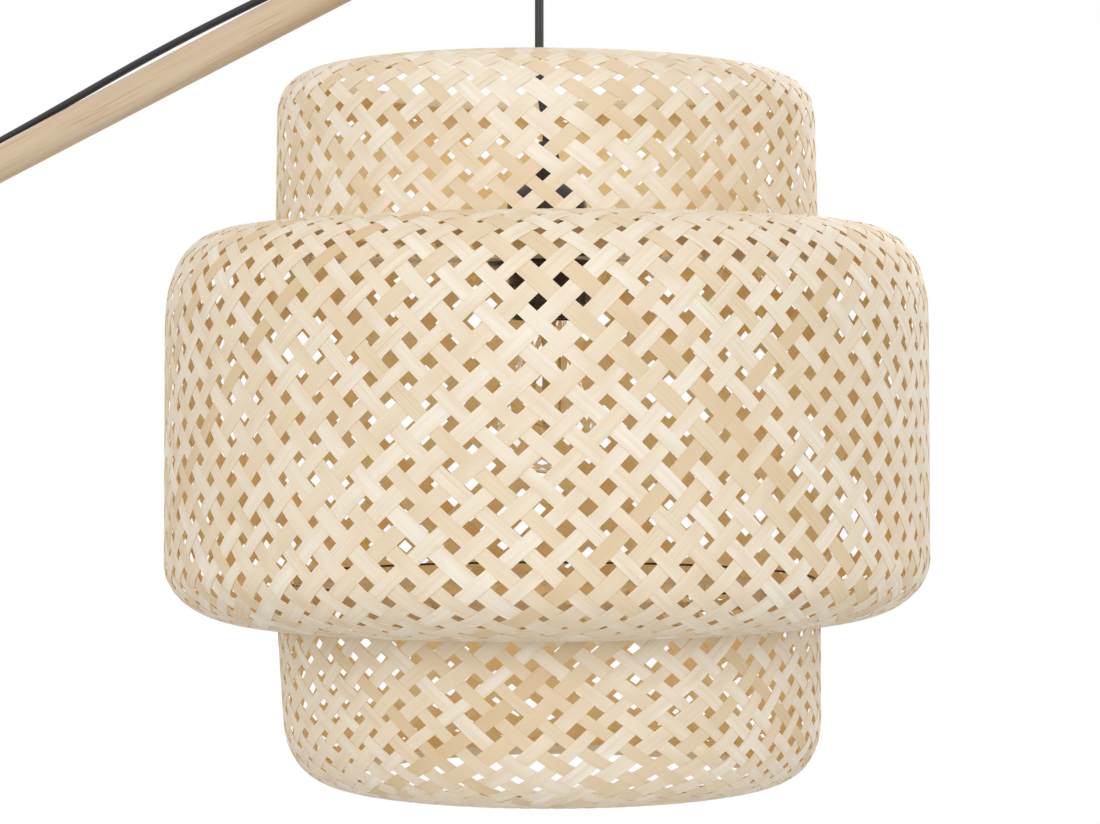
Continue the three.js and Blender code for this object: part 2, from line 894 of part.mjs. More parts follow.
// Places corners on both sides of a turned profile, and closes every open edge with a wall
function thickSheet(cells, corners, profile) {
  const long = profile.getLength();
  const positions = [];
  for (const depth of [0, wallThick]) {
    for (const [angle, along] of corners) {
      const share = Math.min(along / long, 1);
      const at = profile.getPointAt(share);
      const way = profile.getTangentAt(share);
      const radius = at.x - depth * way.y;
      const height = at.y + depth * way.x;
      positions.push(radius * Math.cos(angle), radius * Math.sin(angle), height);
    }
  }
  const inner = corners.length;
  const triangles = [];
  const edges = new Map();
  const addFan = (loop) => {
    for (let k = 1; k < loop.length - 1; k += 1) triangles.push(loop[0], loop[k], loop[k + 1]);
  };
  for (const cell of cells) {
    const [first, ...others] = cell;
    addFan(cell);
    addFan([first, ...others.reverse()].map((i) => i + inner)); // split along the same diagonal
    cell.forEach((from, k) => {
      const to = cell[(k + 1) % cell.length];
      edges.set(`${from},${to}`, [from, to]);
    });
  }
  for (const [from, to] of edges.values()) {
    if (!edges.has(`${to},${from}`)) addFan([to, from, from + inner, to + inner]);
  }
  const geometry = new THREE.BufferGeometry();
  geometry.setAttribute("position", new THREE.Float32BufferAttribute(positions, 3));
  geometry.setIndex(triangles);
  geometry.computeVertexNormals();
  return geometry;
}

// A drum's wall and its rounded corners, parted at the rows nearest to where the corners start
function drumParts(profile, radius, strips, places) {
  const rows = rowsAlong(profile, radius, strips);
  const spacing = rows[1] - rows[0];
  const cuts = places.map((along) => {
    const nearest = Math.round((along - edgeBand) / spacing);
    return THREE.MathUtils.clamp(nearest, 1, rows.length - 2);
  });
  const ends = [0, ...cuts, rows.length - 1];
  return cuts.concat(rows.length - 1).map((to, i) => wovenWall(profile, strips, rows, ends[i], to));
}

// The lower drum's rim and wall
function lowDrum() {
  const profile = new THREE.Path();
  const rim = drumRadius - lowCornerWide;
  profile.moveTo(rim, 0);
  profile.absellipse(rim, lowCornerHigh, lowCornerWide, lowCornerHigh, -Math.PI / 2, 0, false, 0);
  const corner = profile.getLength();
  profile.lineTo(drumRadius, lowDrumTop);
  return drumParts(profile, drumRadius, drumStrips, [corner]);
}

// The middle drum's foot, wall and shoulder
function beltDrum() {
  const profile = new THREE.Path();
  const inner = drumRadius + drumGap;
  const lowCrest = beltRadius - lowBeltCornerWide;
  const highCrest = beltRadius - highBeltCornerWide;
  const wallLow = beltLow + lowBeltCornerHigh;
  const wallHigh = beltHigh - highBeltCornerHigh;
  profile.moveTo(inner, beltLow);
  profile.lineTo(lowCrest, beltLow);
  profile.absellipse(lowCrest, wallLow, lowBeltCornerWide, lowBeltCornerHigh, -Math.PI / 2, 0, false, 0);
  const foot = profile.getLength();
  profile.lineTo(beltRadius, wallHigh);
  const shoulder = profile.getLength();
  profile.absellipse(highCrest, wallHigh, highBeltCornerWide, highBeltCornerHigh, 0, Math.PI / 2, false, 0);
  profile.lineTo(inner, beltHigh);
  return drumParts(profile, beltRadius, beltStrips, [foot, shoulder]);
}

// The upper drum's wall and rim
function highDrum() {
  const profile = new THREE.Path();
  const rim = drumRadius - highCornerWide;
  const wallHigh = shadeHigh - highCornerHigh;
  profile.moveTo(drumRadius, beltHigh - drumInset);
  profile.lineTo(drumRadius, wallHigh);
  const corner = profile.getLength();
  profile.absellipse(rim, wallHigh, highCornerWide, highCornerHigh, 0, Math.PI / 2, false, 0);
  return drumParts(profile, drumRadius, drumStrips, [corner]);
}

function flatHoop(outer, wide, low, high) {
  const inner = outer - wide;
  return ring([[inner, low], [outer, low], [outer, high], [inner, high]], wideSides);
}

function roundHoop(radius, thickRadius, level) {
  return new THREE.TorusGeometry(radius, thickRadius, hoopTubeSides, wideSides).translate(0, 0, level);
}

// The carrier is a hub with flat arms under the cane hoop
function carrier() {
  const reachOut = drumRadius - wallThick - hoopFit;
  const low = carrierLevel;
  const high = low + carrierThick;
  const hole = skirtRadius + seat;
  const blank = [rodZ(carrierHub, low, high)];
  for (let i = 0; i < carrierArms; i += 1) {
    const arm = block(reachOut, carrierArmWide, carrierThick, reachOut / 2, 0, (low + high) / 2);
    blank.push(arm.rotateZ(carrierTurn + (i / carrierArms) * 2 * Math.PI));
  }
  const tips = rodZ(reachOut - seat, low - overrun, high + overrun, wideSides);
  return cut(common(joined(...blank), tips), rodZ(hole, low - overrun, high + overrun));
}

// Lampholder

function cordGrip() {
  const low = capHigh + seat;
  const high = low + gripHigh;
  const hole = cordWidth / 2 + seat;
  const stemLow = low - gripStem;
  return ring([
    [hole, stemLow],
    [gripStemRadius, stemLow],
    [gripStemRadius, low],
    [gripRadius, low],
    [gripRadius, high - gripHigh / 2],
    [gripTopRadius, high],
    [hole, high],
  ], smallSides);
}

function holderCap() {
  const low = carrierLevel + carrierThick + seat;
  const hole = gripStemRadius + seat;
  const dome = (shell, steps) =>
    Array.from({ length: steps + 1 }, (_, i) => {
      const angle = (i / steps) * (Math.PI / 2);
      const wide = capRadius - capTopRadius;
      const high = capHigh - capShoulder;
      return [
        capTopRadius + wide * Math.cos(angle) - shell * Math.cos(angle),
        capShoulder + (high - shell) * Math.sin(angle),
      ];
    });
  return ring([
    [capRadius - capShell, low],
    [capLip, low],
    [capLip, low + capLipHigh],
    [capRadius, low + capLipHigh + (capLip - capRadius)],
    ...dome(0, 3),
    [hole, capHigh],
    [hole, capHigh - capShell],
    ...dome(capShell, 3).reverse(),
  ]);
}

function holderSkirt() {
  const inner = skirtRadius - skirtWall;
  const neckLow = carrierLevel + carrierThick;
  const neckInner = neckRadius - skirtWall;
  return ring([
    [inner, skirtLow],
    [skirtRadius, skirtLow],
    [skirtRadius, neckLow],
    [neckRadius, neckLow],
    [neckRadius, neckHigh],
    [neckInner, neckHigh],
    [neckInner, neckLow - skirtWall],
    [inner, neckLow - 2 * skirtWall],
  ]);
}

function flangeRing() {
  const high = carrierLevel - seat;
  const low = high - flangeThick;
  const inner = skirtRadius + seat;
  return ring(
    [
      [inner, low],
      [lockRadius, low],
      [flangeRadius, high - flangeThick / 2],
      [flangeRadius, high],
      [inner, high],
    ],
    wideSides,
  );
}

function lockRing() {
  const outline = new THREE.Shape(
    Array.from({ length: 2 * lockTeeth }, (_, i) => {
      const angle = (i / (2 * lockTeeth)) * 2 * Math.PI;
      const radius = lockRadius - (i % 2) * lockToothDepth;
      return new THREE.Vector2(radius * Math.cos(angle), radius * Math.sin(angle));
    }),
  );
  const body = new THREE.ExtrudeGeometry(outline, {
    depth: lockHigh - lockLow,
    bevelEnabled: false,
  }).translate(0, 0, lockLow);
  return cut(body, rodZ(skirtRadius + seat, lockLow - overrun, lockHigh + overrun));
}

function socketInsert() {
  const outer = neckRadius - skirtWall - seat;
  const bore = contactRadius / 2;
  return ring([
    [bore, insertLow],
    [outer, insertLow],
    [outer, insertHigh],
    [bore, insertHigh],
  ]);
}

function socketShell() {
  const high = insertLow - seat;
  const inner = shellRadius - shellThick;
  return ring([
    [inner, shellLow],
    [shellRadius, shellLow],
    [shellRadius, high],
    [contactRadius + 2 * seat, high],
    [contactRadius + 2 * seat, high - shellThick],
    [inner, high - shellThick],
  ]);
}

function centreContact() {
  const stem = contactRadius / 2 - seat;
  const low = bulbCapHigh + bulbTipHigh + seat;
  return turned([
    [0, low],
    [contactRadius, low],
    [contactRadius, low + contactThick],
    [stem, low + contactThick],
    [stem, insertHigh],
    [0, insertHigh],
  ], smallSides);
}

// Bulb

function bulbGlass() {
  const centre = bulbLow + bulbRadius;
  const steps = 5;
  const shoulder = THREE.MathUtils.degToRad(40);
  const round = (radius) =>
    Array.from({ length: steps + 1 }, (_, i) => {
      const angle = -Math.PI / 2 + (i / steps) * (Math.PI / 2 + shoulder);
      return [Math.abs(radius * Math.cos(angle)), centre + radius * Math.sin(angle)];
    });
  const neckLow = bulbCapLow - glassNeck;
  const middle = (bulbRadius * Math.cos(shoulder) + glassNeck) / 2;
  const middleHigh = (centre + bulbRadius * Math.sin(shoulder) + neckLow) / 2;
  const outside = [...round(bulbRadius), [middle, middleHigh], [glassNeck, neckLow], [glassNeck, glassTop]];
  const inside = [
    ...round(bulbRadius - glassThick),
    [middle - glassThick, middleHigh],
    [glassNeck - glassThick, neckLow],
    [glassNeck - glassThick, glassTop],
  ];
  return turned([...outside, ...inside.reverse()]);
}

function bulbCap() {
  const inner = bulbCapRadius - bulbCapThick;
  const shoulder = bulbCapHigh - bulbCapRadius / 2;
  return turned([
    [0, bulbCapHigh - 2 * bulbCapThick],
    [bulbTipRadius, bulbCapHigh - 2 * bulbCapThick],
    [inner, shoulder - bulbCapThick],
    [inner, bulbCapLow],
    [bulbCapRadius, bulbCapLow],
    [bulbCapRadius, shoulder],
    [bulbTipRadius + bulbCapThick, bulbCapHigh],
    [bulbTipRadius, bulbCapHigh + bulbTipHigh],
    [0, bulbCapHigh + bulbTipHigh],
  ]);
}

function bulbStem() {
  const high = glassTop - seat;
  const stem = turned([
    [0, filamentLow],
    [stemPost, filamentLow],
    [stemPost, stemLow],
    [stemRadius / 2, stemLow],
    [stemRadius, (stemLow + high) / 2],
    [glassNeck - glassThick - seat, high],
    [0, high],
  ], smallSides);
  const sticks = Array.from({ length: filamentCount }, (_, i) => {
    const angle = (i / filamentCount) * 2 * Math.PI;
    const high = stemLow + stemRadius / 2;
    const route = [
      point(0, 0, high),
      point(filamentSpread, 0, stemLow - filamentSpread / 2),
      point(filamentSpread, 0, filamentLow + filamentSpread / 2),
      point(0, 0, filamentLow + filamentRadius),
    ];
    const round = new THREE.Shape();
    round.absarc(0, 0, filamentRadius, 0, 2 * Math.PI);
    return swept(round, route, null, stickSides / 2).rotateZ(angle + Math.PI / 4);
  });
  return joined(stem, ...sticks);
}

// Lead, foot switch and plug

// From the mast over the base to the foot switch, chosen by hand
function leadPoints() {
  return [
    point(mastCordX, 0, leadExit),
    point(mastCordX, 0, leadExit - 10),
    point(-19, 0, 71),
    point(-26, 0, 53),
    point(-38, 0, 37),
    point(-54, 0.5, 26),
    point(-74, 3, 20.8),
    point(-97, 9, leadLanding),
    point(-118, 22, leadLanding),
    point(-135, 40, leadLanding),
    point(-148, 60, 18.4),
    point(-158, 79, 12),
    point(-166, 97, 7),
    point(switchX, switchY - switchHalf - 11, cableLevel),
    point(switchX, switchY - switchHalf - seat, cableLevel),
  ];
}

function leadRun() {
  return swept(stadium(cordWidth, cordThick), smooth(leadPoints(), leadSteps), point(-1, 0, 0));
}

// From the foot switch to the coil, chosen by hand
function linkPoints() {
  return [
    point(switchX, switchY + switchHalf + seat, cableLevel),
    point(switchX, switchY + switchHalf + 8, cableLevel),
    point(-169.5, 276, 4.1),
    point(-161, 287, 3),
    point(-148, 293, 2.4),
    point(-134, coilTopY, coilLevel),
    point(-110, coilTopY, coilLevel),
    point(coilX - cordWidth - seat, coilTopY, coilLevel),
  ];
}

function leadLink() {
  return swept(stadium(cordThick, cordWidth), smooth(linkPoints(), linkSteps), point(0, 0, -1));
}

// Two layers of loops: in on the floor, up a layer in the half turn at the eye, and out again
function coilStations() {
  const centreY = coilTopY - coilRadius;
  const stations = [point(coilX - cordWidth, coilTopY, coilLevel)];
  const innermost = coilRadius - coilTurnsIn * coilPitch;
  const whole = coilTurnsIn + 0.5 + coilTurnsOut;
  const count = Math.round(whole * coilSteps);
  for (let i = 0; i <= count; i += 1) {
    const turns = i / coilSteps;
    const climbed = THREE.MathUtils.clamp((turns - coilTurnsIn) / 0.5, 0, 1);
    const back = Math.max(turns - coilTurnsIn - 0.5, 0);
    const dip = coilDip * Math.sin(climbed * Math.PI);
    const radius = turns < coilTurnsIn
      ? coilRadius - turns * coilPitch
      : innermost - dip + back * coilPitch;
    const angle = Math.PI / 2 - turns * 2 * Math.PI;
    const ease = (1 - Math.cos(climbed * Math.PI)) / 2;
    stations.push(
      point(
        coilX + radius * Math.cos(angle),
        centreY + radius * Math.sin(angle),
        coilLevel + ease * coilLift,
      ),
    );
  }
  const end = stations.at(-1);
  stations.push(point(end.x + coilTail, end.y, end.z));
  return stations;
}

function leadCoil() {
  return swept(stadium(cordThick, cordWidth), coilStations(), null, heldCordSides);
}

// The coil's least gap to itself: flat neighbours side by side, or one layer over another
function coilGap() {
  const stations = coilStations();
  let least = Infinity;
  stations.forEach((a, i) => {
    for (let j = i + coilSteps / 2; j < stations.length; j += 1) {
      const b = stations[j];
      const across = Math.hypot(a.x - b.x, a.y - b.y) - cordWidth;
      const over = Math.abs(a.z - b.z) - cordThick;
      least = Math.min(least, Math.max(across, over));
    }
  });
  return least;
}

function switchOutline(inset) {
  return stadium(switchWidth - 2 * inset, switchLength - 2 * inset);
}

// Tapered sleeve on the cable, at the switch's end towards +Y (side 1) or -Y (side -1)
function switchBoot(side) {
  const outline = (wide, high, along) =>
    stadium(wide, high).getPoints(bootSteps).map((at) => point(at.x, side * along, cableLevel + at.y));
  return new ConvexGeometry([
    ...outline(bootRootWide, bootRootHigh, switchLength / 2 - bootSink),
    ...outline(bootTipWide, bootTipHigh, switchHalf),
  ]);
}

function switchBase() {
  const body = new THREE.ExtrudeGeometry(switchOutline(switchEdge / 2), {
    depth: switchLowThick - switchEdge / 2,
    bevelThickness: switchEdge / 2,
    bevelSize: switchEdge / 2,
    bevelSegments: 1,
    curveSegments: 6,
  }).translate(0, 0, switchEdge / 2);
  const flatTop = block(
    2 * switchWidth,
    2 * switchLength,
    switchLowThick,
    0,
    0,
    1.5 * switchLowThick,
  );
  return joined(cut(body, flatTop), switchBoot(1), switchBoot(-1));
}

function switchCover() {
  const low = switchLowThick + seat;
  const body = new THREE.ExtrudeGeometry(switchOutline(switchEdge), {
    depth: switchHighThick - switchEdge,
    bevelThickness: switchEdge,
    bevelSize: switchEdge,
    bevelSegments: 2,
    curveSegments: 6,
  }).translate(0, 0, low);
  const under = block(2 * switchWidth, 2 * switchLength, switchLowThick, 0, 0, low - switchLowThick / 2);
  const high = low + switchHighThick;
  const pocket = new THREE.ExtrudeGeometry(
    stadium(buttonWidth + 2 * buttonFit, buttonLength + 2 * buttonFit),
    { depth: buttonPocket + overrun, bevelEnabled: false, curveSegments: 6 },
  ).translate(0, 0, high - buttonPocket);
  return cut(body, under, pocket);
}

function switchButton() {
  const high = switchLowThick + seat + switchHighThick;
  const low = high - buttonPocket / 2;
  const inset = 2 * buttonEdge;
  return new THREE.ExtrudeGeometry(stadium(buttonWidth - inset, buttonLength - inset), {
    depth: high + buttonProud - low - inset,
    bevelThickness: buttonEdge,
    bevelSize: buttonEdge,
    bevelSegments: 1,
    curveSegments: 6,
  }).translate(0, 0, low + buttonEdge);
}

// The plug lies flat, its pins along +X from its face
function plugBody() {
  const half = coilHighLevel;
  const outline = new THREE.Shape();
  outline.moveTo(0, -plugNarrow / 2 + plugEdge);
  outline.lineTo(plugLength, -plugWidth / 2 + plugEdge);
  outline.lineTo(plugLength, plugWidth / 2 - plugEdge);
  outline.lineTo(0, plugNarrow / 2 - plugEdge);
  const body = new THREE.ExtrudeGeometry(outline, {
    depth: 2 * (half - plugEdge),
    bevelThickness: plugEdge,
    bevelSize: plugEdge,
    bevelSegments: 1,
  }).translate(0, 0, -half + plugEdge);
  const face = block(
    plugLength,
    2 * plugWidth,
    4 * half,
    1.5 * plugLength,
    0,
    0,
  );
  const relief = turned([
    [0, -plugRelief],
    [plugReliefTip, -plugRelief],
    [plugReliefRadius, plugEdge],
    [0, plugEdge],
  ]).rotateY(Math.PI / 2);
  const holes = [-1, 1].map((side) =>
    rodX(pinRadius + seat, plugLength - pinInset, plugLength + overrun, smallSides)
      .translate(0, (side * pinSpacing) / 2, 0),
  );
  return cut(joined(body, relief), face, ...holes);
}

function plugPin(side) {
  const low = plugLength - pinInset + seat;
  const high = plugLength + pinLength;
  return turned([
    [0, low],
    [pinRadius, low],
    [pinRadius, high - pinRadius],
    [pinRadius / 2, high],
    [0, high],
  ], smallSides)
    .rotateY(Math.PI / 2)
    .translate(0, (side * pinSpacing) / 2, 0);
}

// Assembly

function baseGroup() {
  const group = new THREE.Group();
  group.add(
    piece("base_pad", basePad(), "rubber"),
    piece("base_plate", basePlate(), "blackMetal"),
    piece("mast_bolt", mastBolt(), "nickel"),
    piece("mast_socket", mastSocket(), "blackMetal"),
    piece("mast_lower", mastLower(), "wood"),
    piece("mast_sleeve", mastSleeve(), "blackMetal"),
    piece("mast_upper", mastUpper(), "wood"),
    piece("mast_cord", mastCord(), "cord"),
  );
  mastBands.forEach((height, i) => {
    const band = piece(`mast_band_${i + 1}`, cordBand(mastRadius), "blackPlastic");
    band.rotation.z = Math.PI;
    band.position.z = height;
    group.add(band);
  });
  return group;
}

function forkGroup() {
  const group = new THREE.Group();
  group.position.z = pivotHeight;
  group.add(
    piece("fork_head", forkHead(), "blackMetal"),
    piece("pivot_washer_far", pivotWasher(1), "nylon"),
    piece("pivot_washer_near", pivotWasher(-1), "nylon"),
    piece("knob_washer", knobWasher(), "nickel"),
    piece("pivot_bolt", pivotBolt(), "nickel"),
    piece("clamp_knob", clampKnob(), "blackPlastic"),
    piece("cord_loop", cordLoop(), "cord"),
  );
  return group;
}

function armGroup() {
  const group = new THREE.Group();
  group.position.z = pivotHeight;
  group.rotation.y = -armRise;
  group.add(
    piece("arm", armRod(), "wood"),
    piece("tail_cap", tailCap(), "blackMetal"),
    piece("arm_cord", armCord(), "cord"),
  );
  armBands.forEach((along, i) => {
    const band = piece(`arm_band_${i + 1}`, cordBand(armRadius).rotateY(-Math.PI / 2), "blackPlastic");
    band.position.x = along;
    group.add(band);
  });
  const tip = new THREE.Group();
  tip.position.x = saddleAlong;
  tip.add(
    piece("saddle_cap", saddleCap(), "blackMetal"),
    piece("keeper_pin", keeperPin(), "nickel"),
  );
  group.add(tip);
  return group;
}

function pendantGroup() {
  const group = new THREE.Group();
  group.position.copy(bendingPoint);
  group.add(piece("pendant_cord", pendantCord(), "cord"));
  return group;
}

function shadeGroup() {
  const group = new THREE.Group();
  group.position.set(reach, 0, shadeLow);
  const [lowRim, lowWall] = lowDrum();
  const [foot, belt, shoulder] = beltDrum();
  const [highWall, highRim] = highDrum();
  const innerWall = drumRadius - wallThick - hoopFit;
  const caneLevel = carrierLevel + carrierThick + seat + caneRadius;
  const rimLow = drumRadius - lowCornerWide - hoopFit;
  const rimHigh = drumRadius - highCornerWide - hoopFit;
  const hoopHigh = lowDrumTop - lowHoopDrop;
  const wireLevel = lowDrumTop + seat + wireRadius;
  group.add(
    piece("shade_upper_rim", highRim, "bamboo"),
    piece("shade_upper", highWall, "bamboo"),
    piece("shade_middle_shoulder", shoulder, "bamboo"),
    piece("shade_middle", belt, "bamboo"),
    piece("shade_middle_foot", foot, "bamboo"),
    piece("shade_lower", lowWall, "bamboo"),
    piece("shade_lower_rim", lowRim, "bamboo"),
    piece("rim_hoop_upper", flatHoop(rimHigh, rimHoopWide, shadeHigh - rimHoopHigh, shadeHigh), "bamboo"),
    piece("rim_hoop_lower", flatHoop(rimLow, rimHoopWide, 0, rimHoopHigh), "bamboo"),
    piece("cane_hoop", roundHoop(innerWall - caneRadius, caneRadius, caneLevel), "bamboo"),
    piece("inner_hoop", flatHoop(innerWall, lowHoopWide, hoopHigh - lowHoopHigh, hoopHigh), "bamboo"),
    piece("wire_ring", roundHoop(drumRadius - wallThick / 2, wireRadius, wireLevel), "blackMetal"),
    piece("carrier", carrier(), "greyMetal"),
    piece("cord_grip", cordGrip(), "blackPlastic"),
    piece("holder_cap", holderCap(), "blackPlastic"),
    piece("holder_skirt", holderSkirt(), "blackPlastic"),
    piece("flange_ring", flangeRing(), "blackPlastic"),
    piece("lock_ring", lockRing(), "blackPlastic"),
    piece("socket_insert", socketInsert(), "nylon"),
    piece("socket_shell", socketShell(), "brass"),
    piece("centre_contact", centreContact(), "brass"),
    piece("bulb_glass", bulbGlass(), "glass"),
    piece("bulb_cap", bulbCap(), "nickel"),
    piece("bulb_stem", bulbStem(), "filament"),
  );
  return group;
}

function leadGroup() {
  const group = new THREE.Group();
  group.add(
    piece("lead_run", leadRun(), "cord"),
    piece("lead_link", leadLink(), "cord"),
    piece("lead_coil", leadCoil(), "cord"),
  );
  const footSwitch = new THREE.Group();
  footSwitch.position.set(switchX, switchY, 0);
  footSwitch.add(
    piece("switch_base", switchBase(), "blackPlastic"),
    piece("switch_cover", switchCover(), "blackPlastic"),
    piece("switch_button", switchButton(), "blackPlastic"),
  );
  const coilEnd = coilStations().at(-1);
  const plug = new THREE.Group();
  plug.position.set(coilEnd.x + seat + plugRelief, coilEnd.y, coilEnd.z);
  plug.add(
    piece("plug_body", plugBody(), "rubber"),
    piece("plug_pin_1", plugPin(-1), "nickel"),
    piece("plug_pin_2", plugPin(1), "nickel"),
  );
  group.add(footSwitch, plug);
  return group;
}

const lamp = new THREE.Group();
lamp.add(baseGroup(), forkGroup(), armGroup(), pendantGroup(), shadeGroup(), leadGroup());

const freeLength =
  lengthOf(smooth(leadPoints(), leadSteps)) +
  2 * switchHalf +
  lengthOf(smooth(linkPoints(), linkSteps)) +
  lengthOf(coilStations());
console.log(`free lead ${freeLength.toFixed(0)} mm, coil's least gap ${coilGap().toFixed(2)} mm`);

export default lamp;
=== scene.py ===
"""A woven-shade floor lamp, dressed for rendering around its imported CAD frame.

Lengths are millimetres in the constants and metres in Blender. +Z is up, the mast stands on the
origin, and the arm points along +X.
"""

import json
import math
import random

import bmesh
import bpy
import numpy as np
from mathutils import Matrix, Vector

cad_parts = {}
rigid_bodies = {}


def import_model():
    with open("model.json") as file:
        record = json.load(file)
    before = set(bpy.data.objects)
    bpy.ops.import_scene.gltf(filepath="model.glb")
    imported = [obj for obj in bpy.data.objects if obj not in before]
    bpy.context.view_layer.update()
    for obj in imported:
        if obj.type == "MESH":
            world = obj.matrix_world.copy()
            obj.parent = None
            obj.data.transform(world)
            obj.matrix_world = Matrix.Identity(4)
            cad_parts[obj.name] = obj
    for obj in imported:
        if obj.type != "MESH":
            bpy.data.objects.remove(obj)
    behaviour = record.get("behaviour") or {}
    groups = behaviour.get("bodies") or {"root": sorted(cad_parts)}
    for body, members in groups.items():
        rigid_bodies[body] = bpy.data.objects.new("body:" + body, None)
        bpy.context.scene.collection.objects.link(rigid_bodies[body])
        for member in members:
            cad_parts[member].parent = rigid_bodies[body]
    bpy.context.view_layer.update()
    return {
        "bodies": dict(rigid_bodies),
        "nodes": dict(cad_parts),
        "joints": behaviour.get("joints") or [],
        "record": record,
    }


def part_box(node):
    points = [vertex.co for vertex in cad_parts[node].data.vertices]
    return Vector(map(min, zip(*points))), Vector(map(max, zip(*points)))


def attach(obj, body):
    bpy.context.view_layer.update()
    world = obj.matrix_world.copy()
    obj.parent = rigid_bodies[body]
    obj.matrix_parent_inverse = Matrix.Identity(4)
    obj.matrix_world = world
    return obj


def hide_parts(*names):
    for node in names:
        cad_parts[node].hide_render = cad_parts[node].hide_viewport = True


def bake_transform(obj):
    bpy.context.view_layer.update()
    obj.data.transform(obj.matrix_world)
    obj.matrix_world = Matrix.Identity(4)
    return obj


MM = 0.001

# Camera
CAMERA_AZIMUTH = math.radians(30)
CAMERA_DISTANCE = 1643
CAMERA_HEIGHT = 1380
CAMERA_LENS = 88.4  # on a 36 mm sensor
CAMERA_SHIFT = (0.0027, -0.0091)
CAMERA_CLIP = (0.05, 60)  # metres
TOWARD_CAMERA = np.array([math.sin(CAMERA_AZIMUTH), -math.cos(CAMERA_AZIMUTH), 0])
PICTURE_RIGHT = np.array([math.cos(CAMERA_AZIMUTH), math.sin(CAMERA_AZIMUTH), 0])

# Lamp
REACH = 620  # mast axis to shade axis
PIVOT_HEIGHT = 1478
ARM_RISE = math.radians(19.7)
ARM_TAIL = 250
ARM_HIGH = 640  # where the wood ends inside the saddle, along the arm
ARM_RADIUS = 12
ARM_CHAMFER = 1
ARM_FLAT = (62, 20)  # length of the flats at the pivot, and the thickness between them
SADDLE_CENTRE = (605.5, 1694.8)
BENDING_HEIGHT = 1692.3
GRIP_TOP = 1538.3

# Cord: two cores side by side
CORD_WIDTH = 6.4
CORD_THICK = 4.4
CORE_STEPS = 8
CORD_HEIGHT = 14.5  # the cord's middle above the axis of the arm
MAST_CORD_X = -16.5
LEAD_EXIT = 96
LOOP_START = 1357
LOOP_ALONG = 73  # where the loop meets the arm's cord, along the arm
SLACK = (190, 340, 3.3)  # where the cord bows off the arm: start, length and rise
SADDLE_STEPS = 16
BEND_REACH = 24  # length of the pendant cord just below the saddle
CORD_BOW = (4.7, 45, 70)  # how far the pendant cord hangs out of line, and over what lengths
CORD_PARTS = 36  # steps of the pendant cord above its part at the grip
GRIP_BEND = 18

# Loop beside the pivot, about the pivot
LOOP_POINTS = [
    (-16.5, 0, -121), (-17.1, 0, -111.7), (-20.5, 3.5, -95), (-27, 14, -70), (-34, 25, -41),
    (-37.5, 31, -12), (-35, 30.5, 11), (-23, 24, 29), (-3, 13, 37), (18, 4.5, 36.5),
]
LOOP_ON_ARM = [(48, 2.6), (64, 0.6), (72.7, 0)]  # along the arm, and above the cord's place on it

# Lead on the floor
LEAD_POINTS = [
    (-16.5, 0, 96), (-16.5, 0, 86), (-19, 0, 71), (-26, 0, 53), (-38, 0, 37),
    (-54, 0.5, 26), (-74, 3, 20.8), (-97, 9, 19.8), (-118, 22, 19.8), (-135, 40, 19.8),
    (-148, 60, 18.4), (-158, 79, 12), (-166, 97, 7), (-172, 113, 5), (-172, 123.7, 5),
]
LINK_POINTS = [
    (-172, 256.3, 5), (-172, 264, 5), (-169.5, 276, 4.1), (-161, 287, 3), (-148, 293, 2.4),
    (-134, 294, 2.2), (-110, 294, 2.2), (-76.7, 294, 2.2),
]
COIL_CENTRE = (-70, 246)
COIL_RADIUS = 48
COIL_PITCH = 7.2
COIL_TURNS = (3, 0.5, 2.5)  # in on the floor, up a layer, and out again
COIL_LEVEL = 2.2
COIL_LIFT = 5
COIL_DIP = 5.8
COIL_TAIL = 42
COIL_STEPS = 36
COIL_RAISE = 1.2  # room for the ties under the coil
RAISE_REACH = 40  # length of lead over which it climbs to the raised coil
TIE_WIDE = 3.6
TIE_THICK = 0.9
TIE_TURNS = (math.radians(182), math.radians(352))
TIE_HEAD = (7, 5.4, 4.6)
TIE_HEAD_EDGE = 0.8
TIE_CORNER_STEPS = 6

# Shade, heights from its lower rim
SHADE_PLACE = (REACH, 0, 1149)
DRUM_RADIUS = 163
BELT_RADIUS = 230
BELT_LOW = 102
BELT_HIGH = 334
LOW_CORNER = (35, 41)
LOW_BELT_CORNER = (46.9, 35)
HIGH_BELT_CORNER = (44.9, 60)
HIGH_CORNER = (29, 29)
HIGH_WALL_TOP = 402
DRUM_INSET = 20
LOW_DRUM_TOP = 122
DRUM_GAP = 1.4
SHOULDER_POWER = 2.45  # 2 makes the corner an ellipse, more makes it squarer
RIM_POWER = 2.3
ARC_STEPS = 28
PROFILE_STATIONS = 900

# Weave
STRIP_THICK = 0.46
STRIP_CROWN = 0.08
STRIP_LIFT = 0.24  # half the distance between the two layers
STRIP_CLOSEST = 0.97  # of the room that a strip has beside its neighbours
STRIP_SPREAD = 0.15  # how much the strips differ in width
STRIP_WANDER = 1.0
DRIFT = 3  # how far the whole weave wanders
SWEEP_POWER = 1.8
STEPS_PER_ROW = 6
CROSSING_FLATNESS = 1.4  # above 1 a strip lies flat over and under the others
WIDTH_WANDER = 0.03
WANDER_SWINGS = ((1.5, 3), (4, 7))  # how fast a strip's two waves swing, per turn in radians
SWELL_WAVES = 4
SWELL_COUNT = (3, 8)
SWELL_SLANT = 5
TINT_POWER = 0.8  # below 1 makes more strips pale
GRAIN_START = 50  # metres of grain in which a strip starts anywhere

# Sides of a strip: where each corner lies across it, and the material of the side after the corner
STRIP_ACROSS = (1, 1, 0.5, 0, 0, 0.5)
# The inward faces are the pith side's own golden tone, brightened and saturated as painted glow of light
# passing through the strips
SKIN, EDGE, PITH_AND_GLOW = 0, 1, 2
STRIP_LOOKS = (EDGE, SKIN, SKIN, EDGE, PITH_AND_GLOW, PITH_AND_GLOW)

